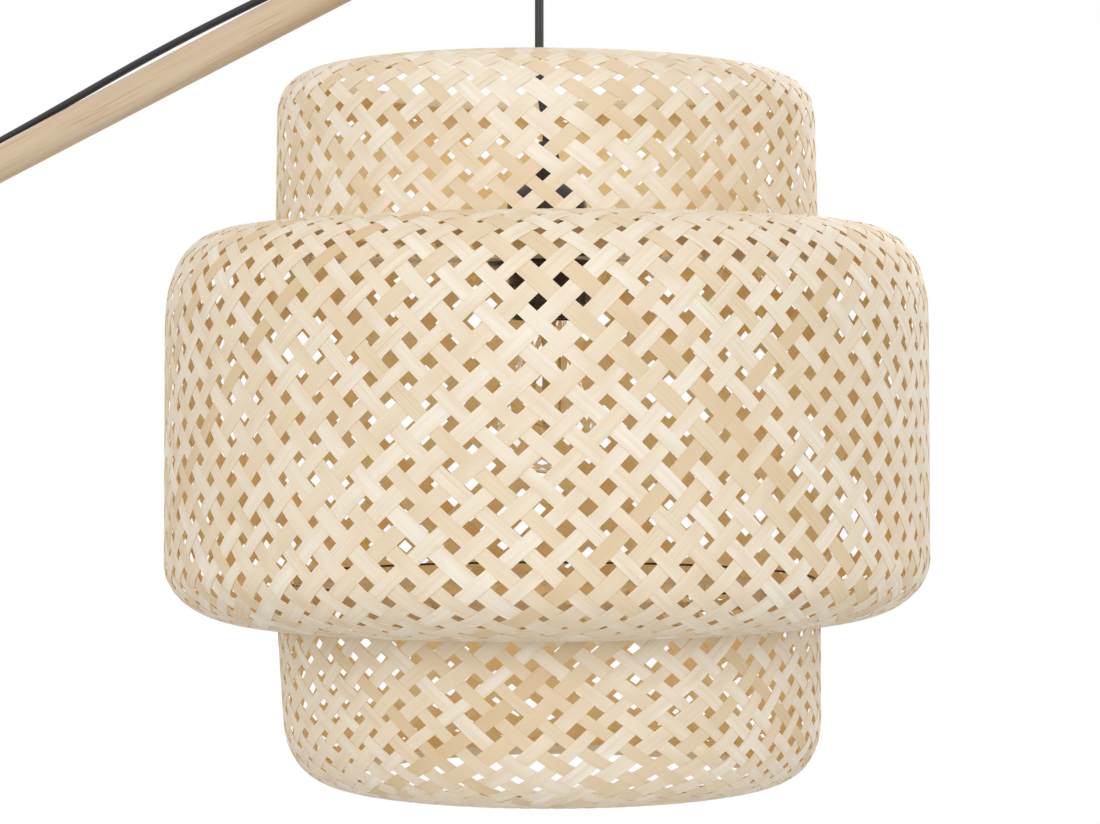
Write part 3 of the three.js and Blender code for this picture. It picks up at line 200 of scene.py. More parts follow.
# Grain of the bamboo, in waves per metre along and across a strip
FIBRES = (9, 2100, 1)
STREAKS = (5, 330, 1)
CLOUDS = (26, 60, 1)

# Surfaces of the other stuff: waves per metre, for wood across and along the grain
GRAIN_WAVES = (60.0, 2.0)
PORE_WAVES = (900.0, 16.0)
WOOD_ROUGHNESS = 0.46
MOTTLE_WAVES = 22.0
MOTTLE_SHADES = (0.86, 1.1)
BUMP_DEPTH = 0.0002  # metres

# Hoops and rings
CANE_RADIUS = 1.75
WIRE_RADIUS = 0.75

# Surfaces spun or eased again from the CAD
SPUN_SIDES = 84
EASE = 0.6
SMOOTH_BELOW = math.radians(40)  # corners shallower than this are part of a curve
CURVE_STEPS = 4
FLAT_BELOW = math.radians(0.5)  # neighbouring faces this alike become one
BEVEL_ABOVE = math.radians(42)
SAME_POINT = 1e-7  # metres
WELD = 1e-6
TUBE_SIDES = 12

# Degrees above which an edge looks sharp
SHARP = 35
SHARP_ON_CORD = 50
SHARP_ON_TIE = 40
SHARP_ON_STRIP = 30
SHARP_ON_HOOP = 60

# Pieces made again from their CAD nodes: name, node, and how far its edges are eased, if not by EASE
ON_MAST_AXIS = (
    ("foot_pad", "base_pad"), ("round_base", "base_plate", 1.0), ("base_screw", "mast_bolt"),
    ("mast_foot", "mast_socket"), ("mast_low", "mast_lower"), ("mast_joint", "mast_sleeve"),
    ("mast_high", "mast_upper"),
)
ON_ARM_AXIS = (("arm_end_cap", "tail_cap"),)
ON_PIVOT_AXIS = (
    ("spacer_far", "pivot_washer_far", 0.3), ("spacer_near", "pivot_washer_near", 0.3),
    ("washer_at_knob", "knob_washer", 0.3), ("pivot_screw", "pivot_bolt", 0.4),
)
ON_SHADE_AXIS = (
    ("grip_on_cord", "cord_grip"), ("holder_dome", "holder_cap"), ("holder_body", "holder_skirt"),
    ("holder_flange", "flange_ring", 0.8), ("holder_insert", "socket_insert", 0.4),
    ("threaded_shell", "socket_shell", 0.2), ("contact", "centre_contact", 0.2),
    ("bulb_envelope", "bulb_glass", 0.2), ("bulb_screw_cap", "bulb_cap", 0.2),
)
NOT_TURNED = (
    ("fork", "fork_head", 0.6), ("saddle", "saddle_cap", 0.5), ("saddle_pin", "keeper_pin", 0.3),
    ("pivot_knob", "clamp_knob", 0.8), ("shade_carrier", "carrier", 0.4),
    ("knurled_ring", "lock_ring", 0.3), ("filaments", "bulb_stem", 0.1),
    *((f"cord_band_{part}_{i}", f"{part}_band_{i}", 0.3) for i in (1, 2, 3) for part in ("mast", "arm")),
)
ON_LEAD = (
    ("foot_switch_base", "switch_base", 0.6), ("foot_switch_cover", "switch_cover", 0.8),
    ("foot_switch_button", "switch_button", 0.5), ("plug", "plug_body", 0.7),
)
PLUG_PINS = (("plug_pin_low", "plug_pin_1", 0.3), ("plug_pin_high", "plug_pin_2", 0.3))
DRUM_HOOPS = {
    "upper": (("high_rim_hoop", "rim_hoop_upper", 0.5),),
    "lower": (("low_rim_hoop", "rim_hoop_lower", 0.5), ("lower_drum_hoop", "inner_hoop", 0.5)),
}

# Studio: places and sizes in metres, power in watts
LIGHT_AIM = (REACH * MM, 0, 1.35)
LIGHTS = (
    ("key", (2.5, -3.3, 2.6), (2.4, 2.0), 53),
    ("fill", (-2.4, -2.4, 2.0), (2.6, 2.4), 4),
    ("back", (0.4, 3.2, 2.6), (3.0, 2.0), 30),
)
WORLD_LIGHT = 0.81
WORLD_SEEN = 1.0
FLOOR_HALF = 4.6
FLOOR_DROP = 0.0004


def reset_scene():
    for item in list(bpy.data.objects):
        bpy.data.objects.remove(item)


def mm(*values):
    return Vector(values) * MM


# Materials


class Nodes:
    """The nodes of a new material or world, with short calls to add and link them."""

    def __init__(self, name, world=False):
        self.owner = (bpy.data.worlds if world else bpy.data.materials).new(name)
        self.owner.use_nodes = True
        self.tree = self.owner.node_tree
        self.tree.nodes.clear()
        self.output = self.add("ShaderNodeOutputWorld" if world else "ShaderNodeOutputMaterial")

    def add(self, kind, **settings):
        node = self.tree.nodes.new(kind)
        for key, value in settings.items():
            setattr(node, key, value)
        return node

    def link(self, source, target):
        self.tree.links.new(source, target)

    def shader(self, colour=None, **inputs):
        node = self.add("ShaderNodeBsdfPrincipled")
        if colour:
            self.link(colour, node.inputs["Base Color"])
        for key, value in inputs.items():
            node.inputs[key.replace("_", " ")].default_value = value
        self.link(node.outputs["BSDF"], self.output.inputs["Surface"])
        return node

    def place(self):
        return self.add("ShaderNodeTexCoord").outputs["Object"]

    def noise(self, vector, scale, detail=2.0, roughness=0.5):
        node = self.add("ShaderNodeTexNoise")
        node.inputs["Scale"].default_value = scale
        node.inputs["Detail"].default_value = detail
        node.inputs["Roughness"].default_value = roughness
        self.link(vector, node.inputs["Vector"])
        return node.outputs["Fac"]

    def stretched(self, vector, scale, turn=(0, 0, 0)):
        node = self.add("ShaderNodeMapping")
        node.inputs["Scale"].default_value = scale
        node.inputs["Rotation"].default_value = turn
        self.link(vector, node.inputs["Vector"])
        return node.outputs["Vector"]

    def ramp(self, factor, stops):
        node = self.add("ShaderNodeValToRGB")
        elements = node.color_ramp.elements
        while len(elements) < len(stops):
            elements.new(0.5)
        for element, (place, colour) in zip(elements, stops):
            element.position = place
            element.color = (*colour, 1) if isinstance(colour, tuple) else (colour, colour, colour, 1)
        self.link(factor, node.inputs["Fac"])
        return node.outputs["Color"]

    def mix(self, factor, first, second):
        """A linked colour turned by a linked factor into a written one."""
        node = self.add("ShaderNodeMix", data_type="RGBA")
        self.link(factor, node.inputs[0])
        self.link(first, node.inputs[6])
        node.inputs[7].default_value = (*second, 1)
        return node.outputs[2]

    def bump(self, height, shader, strength, distance=BUMP_DEPTH):
        node = self.add("ShaderNodeBump")
        node.inputs["Strength"].default_value = strength
        node.inputs["Distance"].default_value = distance
        self.link(height, node.inputs["Height"])
        self.link(node.outputs["Normal"], shader.inputs["Normal"])

    def maths(self, operation, a, b=None):
        node = self.add("ShaderNodeMath", operation=operation)
        for socket, value in zip(node.inputs, (a, b)):
            if value is None:
                continue
            if hasattr(value, "is_linked"):
                self.link(value, socket)
            else:
                socket.default_value = value
        return node.outputs["Value"]


def linear(*rgb):
    """A colour as written on a screen, 0 to 255, in linear light."""
    shares = [value / 255 for value in rgb]
    return tuple(s / 12.92 if s <= 0.04045 else ((s + 0.055) / 1.055) ** 2.4 for s in shares)


def bamboo(name, tints, lines, patches, roughness):
    """Split bamboo: a tint for each strip, fine long fibres, and soft wider streaks.

    tints are four colours from the darkest strip to the palest, lines and patches the colours
    of the fibres and of the streaks.
    """
    n = Nodes(name)
    along = n.add("ShaderNodeUVMap", uv_map="strip").outputs["UV"]
    tint = n.add("ShaderNodeAttribute", attribute_name="tint").outputs["Fac"]
    grain = n.maths("FRACT", n.maths("MULTIPLY", tint, 7.3))
    fibre = n.noise(n.stretched(along, FIBRES), 1.0, 3)
    streak = n.noise(n.stretched(along, STREAKS), 1.0, 2)
    colour = n.ramp(tint, [(0.0, tints[0]), (0.28, tints[1]), (0.6, tints[2]), (1.0, tints[3])])
    cloud = n.noise(n.stretched(along, CLOUDS), 1.0, 2)
    colour = n.mix(n.ramp(cloud, [(0.45, 0.0), (0.8, 0.6)]), colour, tints[0])
    soft = n.ramp(streak, [(0.42, 0.0), (0.75, 0.55)])
    colour = n.mix(soft, colour, patches)
    sharp = n.ramp(fibre, [(0.33, 1.0), (0.41, 0.0)])
    share = n.ramp(grain, [(0.3, 0.12), (0.9, 0.6)])
    colour = n.mix(n.maths("MULTIPLY", sharp, share), colour, lines)
    n.bump(fibre, n.shader(colour, Roughness=roughness), 0.2)
    return n.owner


def two_toned(name, scale, detail, dark, light, roughness, strength=0.0):
    """A colour that drifts between two tones, with a noise scaled along each axis."""
    n = Nodes(name)
    grain = n.noise(n.stretched(n.place(), scale), 1.0, detail)
    colour = n.ramp(grain, [(0.3, linear(*dark)), (0.7, linear(*light))])
    shader = n.shader(colour, Roughness=roughness)
    if strength:
        n.bump(grain, shader, strength)
    return n.owner


def grained_wood(name, along, turn=(0, 0, 0)):
    """Pale oiled wood with long grain along an axis."""
    n = Nodes(name)
    scale, fine = [GRAIN_WAVES[0]] * 3, [PORE_WAVES[0]] * 3
    scale[along], fine[along] = GRAIN_WAVES[1], PORE_WAVES[1]
    place = n.stretched(n.place(), (1, 1, 1), turn)
    grain = n.noise(n.stretched(place, scale), 1.0, 5, 0.6)
    pores = n.noise(n.stretched(place, fine), 1.0, 2)
    colour = n.ramp(grain, [
        (0.25, linear(194, 166, 131)), (0.5, linear(209, 186, 156)), (0.75, linear(222, 204, 178))])
    marks = n.ramp(pores, [(0.3, 0.55), (0.45, 0.0)])
    colour = n.mix(marks, colour, linear(178, 144, 104))
    n.bump(pores, n.shader(colour, Roughness=WOOD_ROUGHNESS), 0.12)
    return n.owner


def coated(name, colour, roughness, speckle=1800.0, strength=0.08, **inputs):
    """Painted, moulded or plated stuff: a base colour with a slight mottle and a fine surface."""
    n = Nodes(name)
    fine = n.noise(n.place(), speckle, 2)
    wide = n.noise(n.place(), MOTTLE_WAVES, 3)
    dark, light = (tuple(min(c * shade, 1) for c in colour) for shade in MOTTLE_SHADES)
    shader = n.shader(n.ramp(wide, [(0.3, dark), (0.7, light)]), **inputs)
    rough = [(place, min(roughness + more, 1.0)) for place, more in ((0.3, -0.05), (0.7, 0.07))]
    n.link(n.ramp(wide, rough), shader.inputs["Roughness"])
    n.bump(fine, shader, strength, BUMP_DEPTH / 2)
    return n.owner


def clear_glass():
    n = Nodes("clear_glass")
    shader = n.shader(Base_Color=(1, 1, 1, 1), Roughness=0.0, IOR=1.45, Transmission_Weight=1.0)
    n.bump(n.noise(n.place(), 30.0, 1), shader, 0.02, BUMP_DEPTH * 2)
    return n.owner


# Painted, moulded or plated stuff: colour, roughness, and what else is special
COATINGS = {
    "black_steel": ((38, 38, 39), 0.5, {"speckle": 2600, "strength": 0.25}),
    "grey_steel": ((206, 203, 196), 0.42, {}),
    "plated_steel": ((196, 193, 186), 0.28, {"Metallic": 1.0}),
    "holder_plastic": ((44, 36, 30), 0.26, {}),
    "black_plastic": ((36, 36, 37), 0.42, {"strength": 0.15}),
    "white_plastic": ((222, 218, 208), 0.5, {}),
    "contact_brass": ((200, 165, 95), 0.3, {"Metallic": 1.0}),
    "pad_rubber": ((32, 32, 32), 0.9, {"strength": 0.4}),
    "plug_rubber": ((36, 36, 38), 0.5, {}),
    "cord_sheath": ((44, 44, 48), 0.5, {}),
    "filament_stick": ((238, 206, 128), 0.4, {}),
}


def make_materials():
    skin = [linear(213, 187, 147), linear(226, 209, 181), linear(231, 218, 196), linear(236, 227, 211)]
    # Pith tints: the inner side's own golden tone, raised near white and made more golden as painted glow of
    # light through the thin strips
    pith_and_glow = [linear(250, 212, 146), linear(253, 224, 164), linear(255, 233, 180), linear(255, 242, 202)]
    made = {
        "bamboo_strip": bamboo("bamboo_skin", skin, linear(199, 166, 122), linear(219, 198, 167), 0.5),
        "bamboo_inside": bamboo("bamboo_pith_and_glow", pith_and_glow, linear(240, 192, 126), linear(253, 220, 162), 0.6),
        "bamboo_edge": two_toned("bamboo_edge", (300, 300, 300), 2, (226, 202, 164), (236, 218, 188), 0.7),
        "bamboo_hoop": two_toned("hoop_wood", (40, 40, 700), 4, (216, 192, 153), (226, 208, 177), 0.55, 0.2),
        "arm_wood": grained_wood("arm_wood", 0, (0, ARM_RISE, 0)),
        "pale_wood": grained_wood("mast_wood", 2),
        "bulb_envelope": clear_glass(),
    }
    for name, (rgb, roughness, more) in COATINGS.items():
        made[name] = coated(name, linear(*rgb), roughness, **more)
    return made


# Mesh helpers


def put_in_scene(name, data):
    item = bpy.data.objects.new(name, data)
    bpy.context.scene.collection.objects.link(item)
    return item


def look_along(item, place, way):
    """Put a camera or a light at a place, facing a given way."""
    item.location = place
    item.rotation_mode = "QUATERNION"
    item.rotation_quaternion = way.to_track_quat("-Z", "Y")


def add_mesh(name, vertices, faces, materials, face_materials=None):
    mesh = bpy.data.meshes.new(name)
    mesh.from_pydata([tuple(v) for v in vertices], [], [tuple(f) for f in faces])
    for material in materials:
        mesh.materials.append(material)
    if face_materials is not None:
        mesh.polygons.foreach_set("material_index", np.asarray(face_materials, np.int32))
    mesh.update()
    return put_in_scene(name, mesh)


def tube_faces(first, rings, around):
    """Faces of a closed tube of equal rings: its sides, then its two ends.

    They face outward where each ring's points run clockwise, as seen along the tube.
    """
    faces = []
    for ring in range(rings - 1):
        low = first + ring * around
        high = low + around
        for k in range(around):
            m = (k + 1) % around
            faces.append((low + k, low + m, high + m, high + k))
    last = first + (rings - 1) * around
    faces.append(tuple(first + k for k in reversed(range(around))))
    faces.append(tuple(last + k for k in range(around)))
    return faces


def weld(mesh, flatten=False):
    """Join points that coincide, and, where asked, neighbouring faces that lie in one plane."""
    form = bmesh.new()
    form.from_mesh(mesh)
    bmesh.ops.remove_doubles(form, verts=form.verts, dist=WELD)
    if flatten:
        bmesh.ops.dissolve_limit(form, angle_limit=FLAT_BELOW, verts=form.verts, edges=form.edges)
    form.to_mesh(mesh)
    form.free()


def smooth_by_angle(item, degrees):
    mesh = item.data
    mesh.polygons.foreach_set("use_smooth", np.ones(len(mesh.polygons), bool))
    mesh.set_sharp_from_angle(angle=math.radians(degrees))


def points_of(mesh):
    found = np.zeros(3 * len(mesh.vertices))
    mesh.vertices.foreach_get("co", found)
    return found.reshape(-1, 3)


def unit(vectors):
    vectors = np.asarray(vectors, float)
    return vectors / np.linalg.norm(vectors, axis=-1, keepdims=True)


def hermite(t, start, leave, end, arrive):
    """A point on the curve between two points with a given direction at each."""
    return (
        (2 * t**3 - 3 * t**2 + 1) * start
        + (t**3 - 2 * t**2 + t) * leave
        + (3 * t**2 - 2 * t**3) * end
        + (t**3 - t**2) * arrive
    )


def seat_piece(item, node, frame, degrees=SHARP):
    """A new piece is shaded smooth, moves with its CAD node's body, and hides the node."""
    smooth_by_angle(item, degrees)
    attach(item, frame["body_of"][node])
    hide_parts(node)


# Turned pieces, spun again from the CAD's outline with more sides and eased corners


def half_section(node, origin, axis):
    """A turned node's outline as points of radius and height, in order round the solid."""
    points = points_of(node.data) - origin
    heights = points @ axis
    flat = points - np.outer(heights, axis)
    radii = np.linalg.norm(flat, axis=1)
    widest = flat[radii.argmax()] / radii.max()
    near = 1e-6
    on_half = (radii < near) | (flat @ widest > radii * (1 - near))
    keys = [tuple(key) for key in np.round(np.stack([radii, heights], 1), 6)]
    partners = {}
    for edge in node.data.edges:
        a, b = edge.vertices
        if on_half[a] and on_half[b] and keys[a] != keys[b]:
            partners.setdefault(keys[a], set()).add(keys[b])
            partners.setdefault(keys[b], set()).add(keys[a])
    ends = [key for key, others in partners.items() if len(others) == 1]
    chain = [min(ends) if ends else min(partners)]
    while True:
        onward = [key for key in partners[chain[-1]] if key not in chain]
        if not onward:
            break
        chain.append(onward[0])
    if len(chain) != len(partners):
        raise ValueError(f"{node.name} isn't a turned piece")
    if ends and chain[0][0] > near:
        chain.insert(0, (0.0, chain[0][1]))
    if ends and chain[-1][0] > near:
        chain.append((0.0, chain[-1][1]))
    outline = np.array(chain)
    ahead = np.roll(outline, -1, axis=0)
    area = np.sum(outline[:, 0] * ahead[:, 1] - ahead[:, 0] * outline[:, 1])
    return (outline if area > 0 else outline[::-1]), not ends


def run_tangent(before, at, after):
    """The direction of a curve at one of its points: a long straight neighbour keeps its own."""
    back, on = at - before, after - at
    back_long, on_long = np.linalg.norm(back), np.linalg.norm(on)
    if back_long > 2 * on_long:
        return back / back_long
    if on_long > 2 * back_long:
        return on / on_long
    return unit(back / back_long + on / on_long)


def eased(outline, closed, ease):
    """An outline with small arcs at its sharp corners and curves through its shallow ones."""
    count = len(outline)
    corners = []
    for i, at in enumerate(outline):
        if not closed and i in (0, count - 1):
            corners.append(None)
            continue
        before, after = outline[i - 1], outline[(i + 1) % count]
        turn = math.acos(np.clip(unit(at - before) @ unit(after - at), -1, 1))
        corners.append("sharp" if turn > SMOOTH_BELOW else run_tangent(before, at, after))
    made = []
    for i in range(count if closed else count - 1):
        j = (i + 1) % count
        start, end = outline[i], outline[j]
        way = unit(end - start)
        reach = min(ease, 0.4 * np.linalg.norm(end - start))
        if isinstance(corners[i], str):
            start = start + way * reach
        if isinstance(corners[j], str):
            end = end - way * reach
        size = np.linalg.norm(end - start)
        leave = corners[i] if isinstance(corners[i], np.ndarray) else way
        arrive = corners[j] if isinstance(corners[j], np.ndarray) else way
        bent = min(leave @ way, arrive @ way) < 0.9999
        for t in np.linspace(0, 1, CURVE_STEPS + 1 if bent else 2):
            made.append(hermite(t, start, size * leave, end, size * arrive))
        if isinstance(corners[j], str):
            onward = outline[(j + 1) % count]
            room = min(ease, 0.4 * np.linalg.norm(onward - outline[j]))
            leaving = outline[j] + unit(onward - outline[j]) * room
            made.append(0.25 * end + 0.5 * outline[j] + 0.25 * leaving)
    kept = [made[0]]
    for at in made[1:]:
        if np.linalg.norm(at - kept[-1]) > SAME_POINT:
            kept.append(at)
    if closed and np.linalg.norm(kept[0] - kept[-1]) < SAME_POINT:
        kept.pop()
    return np.array(kept)


def spin(name, outline, closed, origin, axis, material):
    """A surface turned round an axis from an outline of radius and height."""
    axis = unit(axis)
    side = unit(np.cross(axis, (0, 1, 0) if abs(axis[1]) < 0.9 else (1, 0, 0)))
    other = np.cross(axis, side)
    angles = np.linspace(0, 2 * math.pi, SPUN_SIDES, endpoint=False)
    around = np.outer(np.cos(angles), side) + np.outer(np.sin(angles), other)
    vertices, rings = [], []
    for radius, height in outline:
        middle = origin + height * axis
        if radius < SAME_POINT:
            rings.append([len(vertices)] * SPUN_SIDES)
            vertices.append(middle)
        else:
            rings.append(list(range(len(vertices), len(vertices) + SPUN_SIDES)))
            vertices.extend(middle + radius * around)
    faces = []
    for i in range(len(rings) if closed else len(rings) - 1):
        low, high = rings[i], rings[(i + 1) % len(rings)]
        for k in range(SPUN_SIDES):
            m = (k + 1) % SPUN_SIDES
            corners = [low[k], low[m], high[m], high[k]]
            faces.append(list(dict.fromkeys(corners)))
    return add_mesh(name, vertices, [face for face in faces if len(face) > 2], [material])


def respun(frame, materials, name, node, ease=EASE, origin=(0, 0, 0), axis=(0, 0, 1)):
    """A turned CAD node spun again, with more sides and eased corners."""
    origin, axis = np.array(origin, float) * MM, unit(axis)
    outline, closed = half_section(frame["nodes"][node], origin, axis)
    material = materials[frame["slots"][node]]
    item = spin(name, eased(outline, closed, ease * MM), closed, origin, axis, material)
    seat_piece(item, node, frame)
    return item


def polished(frame, materials, name, node, ease):
    """A CAD node's own form with welded faces and rounded edges."""
    item = put_in_scene(name, frame["nodes"][node].data.copy())
    weld(item.data, flatten=True)
    item.data.materials.clear()
    item.data.materials.append(materials[frame["slots"][node]])
    seat_piece(item, node, frame)
    bevel = item.modifiers.new("rounded", "BEVEL")
    bevel.width = ease * MM
    bevel.segments = 2
    bevel.limit_method = "ANGLE"
    bevel.angle_limit = BEVEL_ABOVE
    bevel.harden_normals = True
    return item


# Routes and cords


def smooth(points, steps):
    """A centripetal curve through points, with a number of steps between each two."""
    points = [np.array(p, float) for p in points]
    line = [2 * points[0] - points[1], *points, 2 * points[-1] - points[-2]]
    made = []
    for before, start, end, after in zip(line, line[1:], line[2:], line[3:]):
        gaps = [math.sqrt(np.linalg.norm(b - a)) for a, b in ((before, start), (start, end), (end, after))]
        leave = (start - before) / gaps[0] - (end - before) / (gaps[0] + gaps[1]) + (end - start) / gaps[1]
        arrive = (end - start) / gaps[1] - (after - start) / (gaps[1] + gaps[2]) + (after - end) / gaps[2]
        leave, arrive = leave * gaps[1], arrive * gaps[1]
        for t in np.arange(steps) / steps:
            made.append(hermite(t, start, leave, end, arrive))
    return [*made, points[-1]]


def cord_section():
    """Two round cores with a groove between them: points of width and thickness."""
    core = CORD_THICK / 2
    offset = CORD_WIDTH / 2 - core
    groove = math.acos(-offset / core)
    angles = np.linspace(-groove, groove, CORE_STEPS + 1)[:-1]
    right = [(offset + core * math.cos(a), core * math.sin(a)) for a in angles]
    return [*right, *((-x, -y) for x, y in right)]


def side_directions(points, start_side, end_side=None):
    """The direction of the cord's width at each point: carried along without twisting, then
    turned bit by bit where its end is given, or levelled where the cord runs on the floor."""
    tangents = unit(np.gradient(points, axis=0))
    side = np.array(start_side, float)
    sides = []
    for tangent in tangents:
        side = unit(side - (side @ tangent) * tangent)
        if end_side is None:
            flatness = math.hypot(tangent[0], tangent[1])
            level = np.array([-tangent[1], tangent[0], 0])
            if level @ side < 0:
                level = -level
            side = unit((1 - flatness) * side + flatness * level)
        sides.append(side)
    if end_side is None:
        return tangents, np.array(sides)
    last = tangents[-1]
    goal = unit(np.array(end_side) - (np.array(end_side) @ last) * last)
    twist = math.atan2(np.cross(sides[-1], goal) @ last, sides[-1] @ goal)
    turned = []
    for i, (tangent, side) in enumerate(zip(tangents, sides)):
        angle = twist * gently(i / (len(sides) - 1))
        turned.append(side * math.cos(angle) + np.cross(tangent, side) * math.sin(angle))
    return tangents, np.array(turned)


def flat_cord(name, points, material, start_side, end_side=None):
    """A flat two-core cord along points in millimetres."""
    points = np.array(points, float)
    tangents, sides = side_directions(points, start_side, end_side)
    section = cord_section()
    vertices = []
    for at, tangent, side in zip(points, tangents, sides):
        up = np.cross(tangent, side)
        vertices.extend((at + x * side + y * up) * MM for x, y in section)
    item = add_mesh(name, vertices, tube_faces(0, len(points), len(section)), [material])
    smooth_by_angle(item, SHARP_ON_CORD)
    return item


def arm_point(along, above):
    """A point over the arm's axis, in the lamp's frame."""
    x = along * math.cos(ARM_RISE) - above * math.sin(ARM_RISE)
    z = PIVOT_HEIGHT + along * math.sin(ARM_RISE) + above * math.cos(ARM_RISE)
    return (x, 0, z)


def gently(share):
    """A share of the way, kept from 0 to 1, that starts and ends slowly."""
    share = min(max(share, 0), 1)
    return share * share * (3 - 2 * share)


def make_held_cords(materials):
    sheath = materials["cord_sheath"]
    mast = [(MAST_CORD_X, 0, z) for z in np.linspace(LEAD_EXIT, LOOP_START, 12)]
    item = flat_cord("cord_on_mast", mast, sheath, (0, 1, 0))
    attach(item, "base")
    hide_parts("mast_cord")
    start, length, rise = SLACK
    stations = [arm_point(LOOP_ALONG, CORD_HEIGHT)]
    stations += [arm_point(along, CORD_HEIGHT) for along in np.linspace(LOOP_ALONG + 20, start, 5)]
    for share in np.linspace(0, 1, 25)[1:]:
        lift = rise * math.sin(share * math.pi) ** 2
        stations.append(arm_point(start + share * length, CORD_HEIGHT + lift))
    middle_x, middle_z = SADDLE_CENTRE
    for angle in np.linspace(math.pi / 2 + ARM_RISE, 0, SADDLE_STEPS + 1):
        x = middle_x + CORD_HEIGHT * math.cos(angle)
        stations.append((x, 0, middle_z + CORD_HEIGHT * math.sin(angle)))
    stations.append((REACH, 0, BENDING_HEIGHT))
    item = flat_cord("cord_on_arm", stations, sheath, (0, 1, 0), (0, 1, 0))
    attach(item, "arm")
    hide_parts("arm_cord")


def make_loop(materials):
    about_pivot = [(x, y, z + PIVOT_HEIGHT) for x, y, z in LOOP_POINTS]
    on_arm = [arm_point(along, CORD_HEIGHT + lift) for along, lift in LOOP_ON_ARM]
    points = smooth([*about_pivot, *on_arm], 8)
    item = flat_cord("cord_beside_pivot", points, materials["cord_sheath"], (0, 1, 0), (0, 1, 0))
    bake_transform(item)
    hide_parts("cord_loop")


def make_pendant_cord(materials):
    bow, low_reach, high_reach = CORD_BOW
    points = []
    for height in np.linspace(BENDING_HEIGHT + 1, GRIP_TOP - 2, 61):
        out = bow * gently((height - GRIP_TOP) / low_reach) * gently((BENDING_HEIGHT - height) / high_reach)
        points.append(np.array([REACH, 0, height]) - out * PICTURE_RIGHT)
    at_saddle = [(REACH, 0, BENDING_HEIGHT), (REACH, 0, BENDING_HEIGHT - BEND_REACH)]
    at_grip = [(REACH, 0, GRIP_TOP + GRIP_BEND), (REACH, 0, GRIP_TOP)]
    parts = (
        ("cord_to_shade", points[:CORD_PARTS + 1], ("arm", "pendant"), at_saddle),
        ("cord_at_grip", points[CORD_PARTS:], ("pendant", "shade"), at_grip),
    )
    for name, route, bodies, bend in parts:
        item = flat_cord(name, route, materials["cord_sheath"], (0, 1, 0), (0, 1, 0))
        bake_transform(item)
        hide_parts("pendant_cord")


def coil_points():
    """Two layers of turns: in on the floor, up a layer at the eye, and out again."""
    turns_in, turns_up, turns_out = COIL_TURNS
    centre_x, centre_y = COIL_CENTRE
    innermost = COIL_RADIUS - turns_in * COIL_PITCH
    whole = turns_in + turns_up + turns_out
    points = []
    for turns in np.linspace(0, whole, round(whole * COIL_STEPS) + 1):
        climbed = min(max((turns - turns_in) / turns_up, 0), 1)
        back = max(turns - turns_in - turns_up, 0)
        radius = COIL_RADIUS - turns * COIL_PITCH
        if turns >= turns_in:
            radius = innermost - COIL_DIP * math.sin(climbed * math.pi) + back * COIL_PITCH
        angle = math.pi / 2 - turns * 2 * math.pi
        level = COIL_LEVEL + COIL_RAISE + COIL_LIFT * (1 - math.cos(climbed * math.pi)) / 2
        points.append((centre_x + radius * math.cos(angle), centre_y + radius * math.sin(angle), level))
    return points


def lead_route():
    """The whole lead: mast to switch, through it, on to the coil, and to the plug."""
    run = smooth(LEAD_POINTS, 8)
    through = [(LEAD_POINTS[-1][0], y, LEAD_POINTS[-1][2])
               for y in np.linspace(LEAD_POINTS[-1][1], LINK_POINTS[0][1], 8)[1:-1]]
    link = smooth(LINK_POINTS, 6)
    raised = []
    for at in link:
        lift = COIL_RAISE * gently(1 - (COIL_CENTRE[0] - at[0]) / (2 * RAISE_REACH))
        raised.append((at[0], at[1], at[2] + lift))
    coil = coil_points()
    end_x, end_y, end_z = coil[-1]
    plug_level = COIL_LEVEL + COIL_LIFT
    tail = []
    for share in np.linspace(0, 1, 9)[1:]:
        level = end_z + (plug_level - end_z) * gently(share)
        tail.append((end_x + share * COIL_TAIL, end_y, level))
    return [*run, *through, *raised, *coil[1:], *tail]


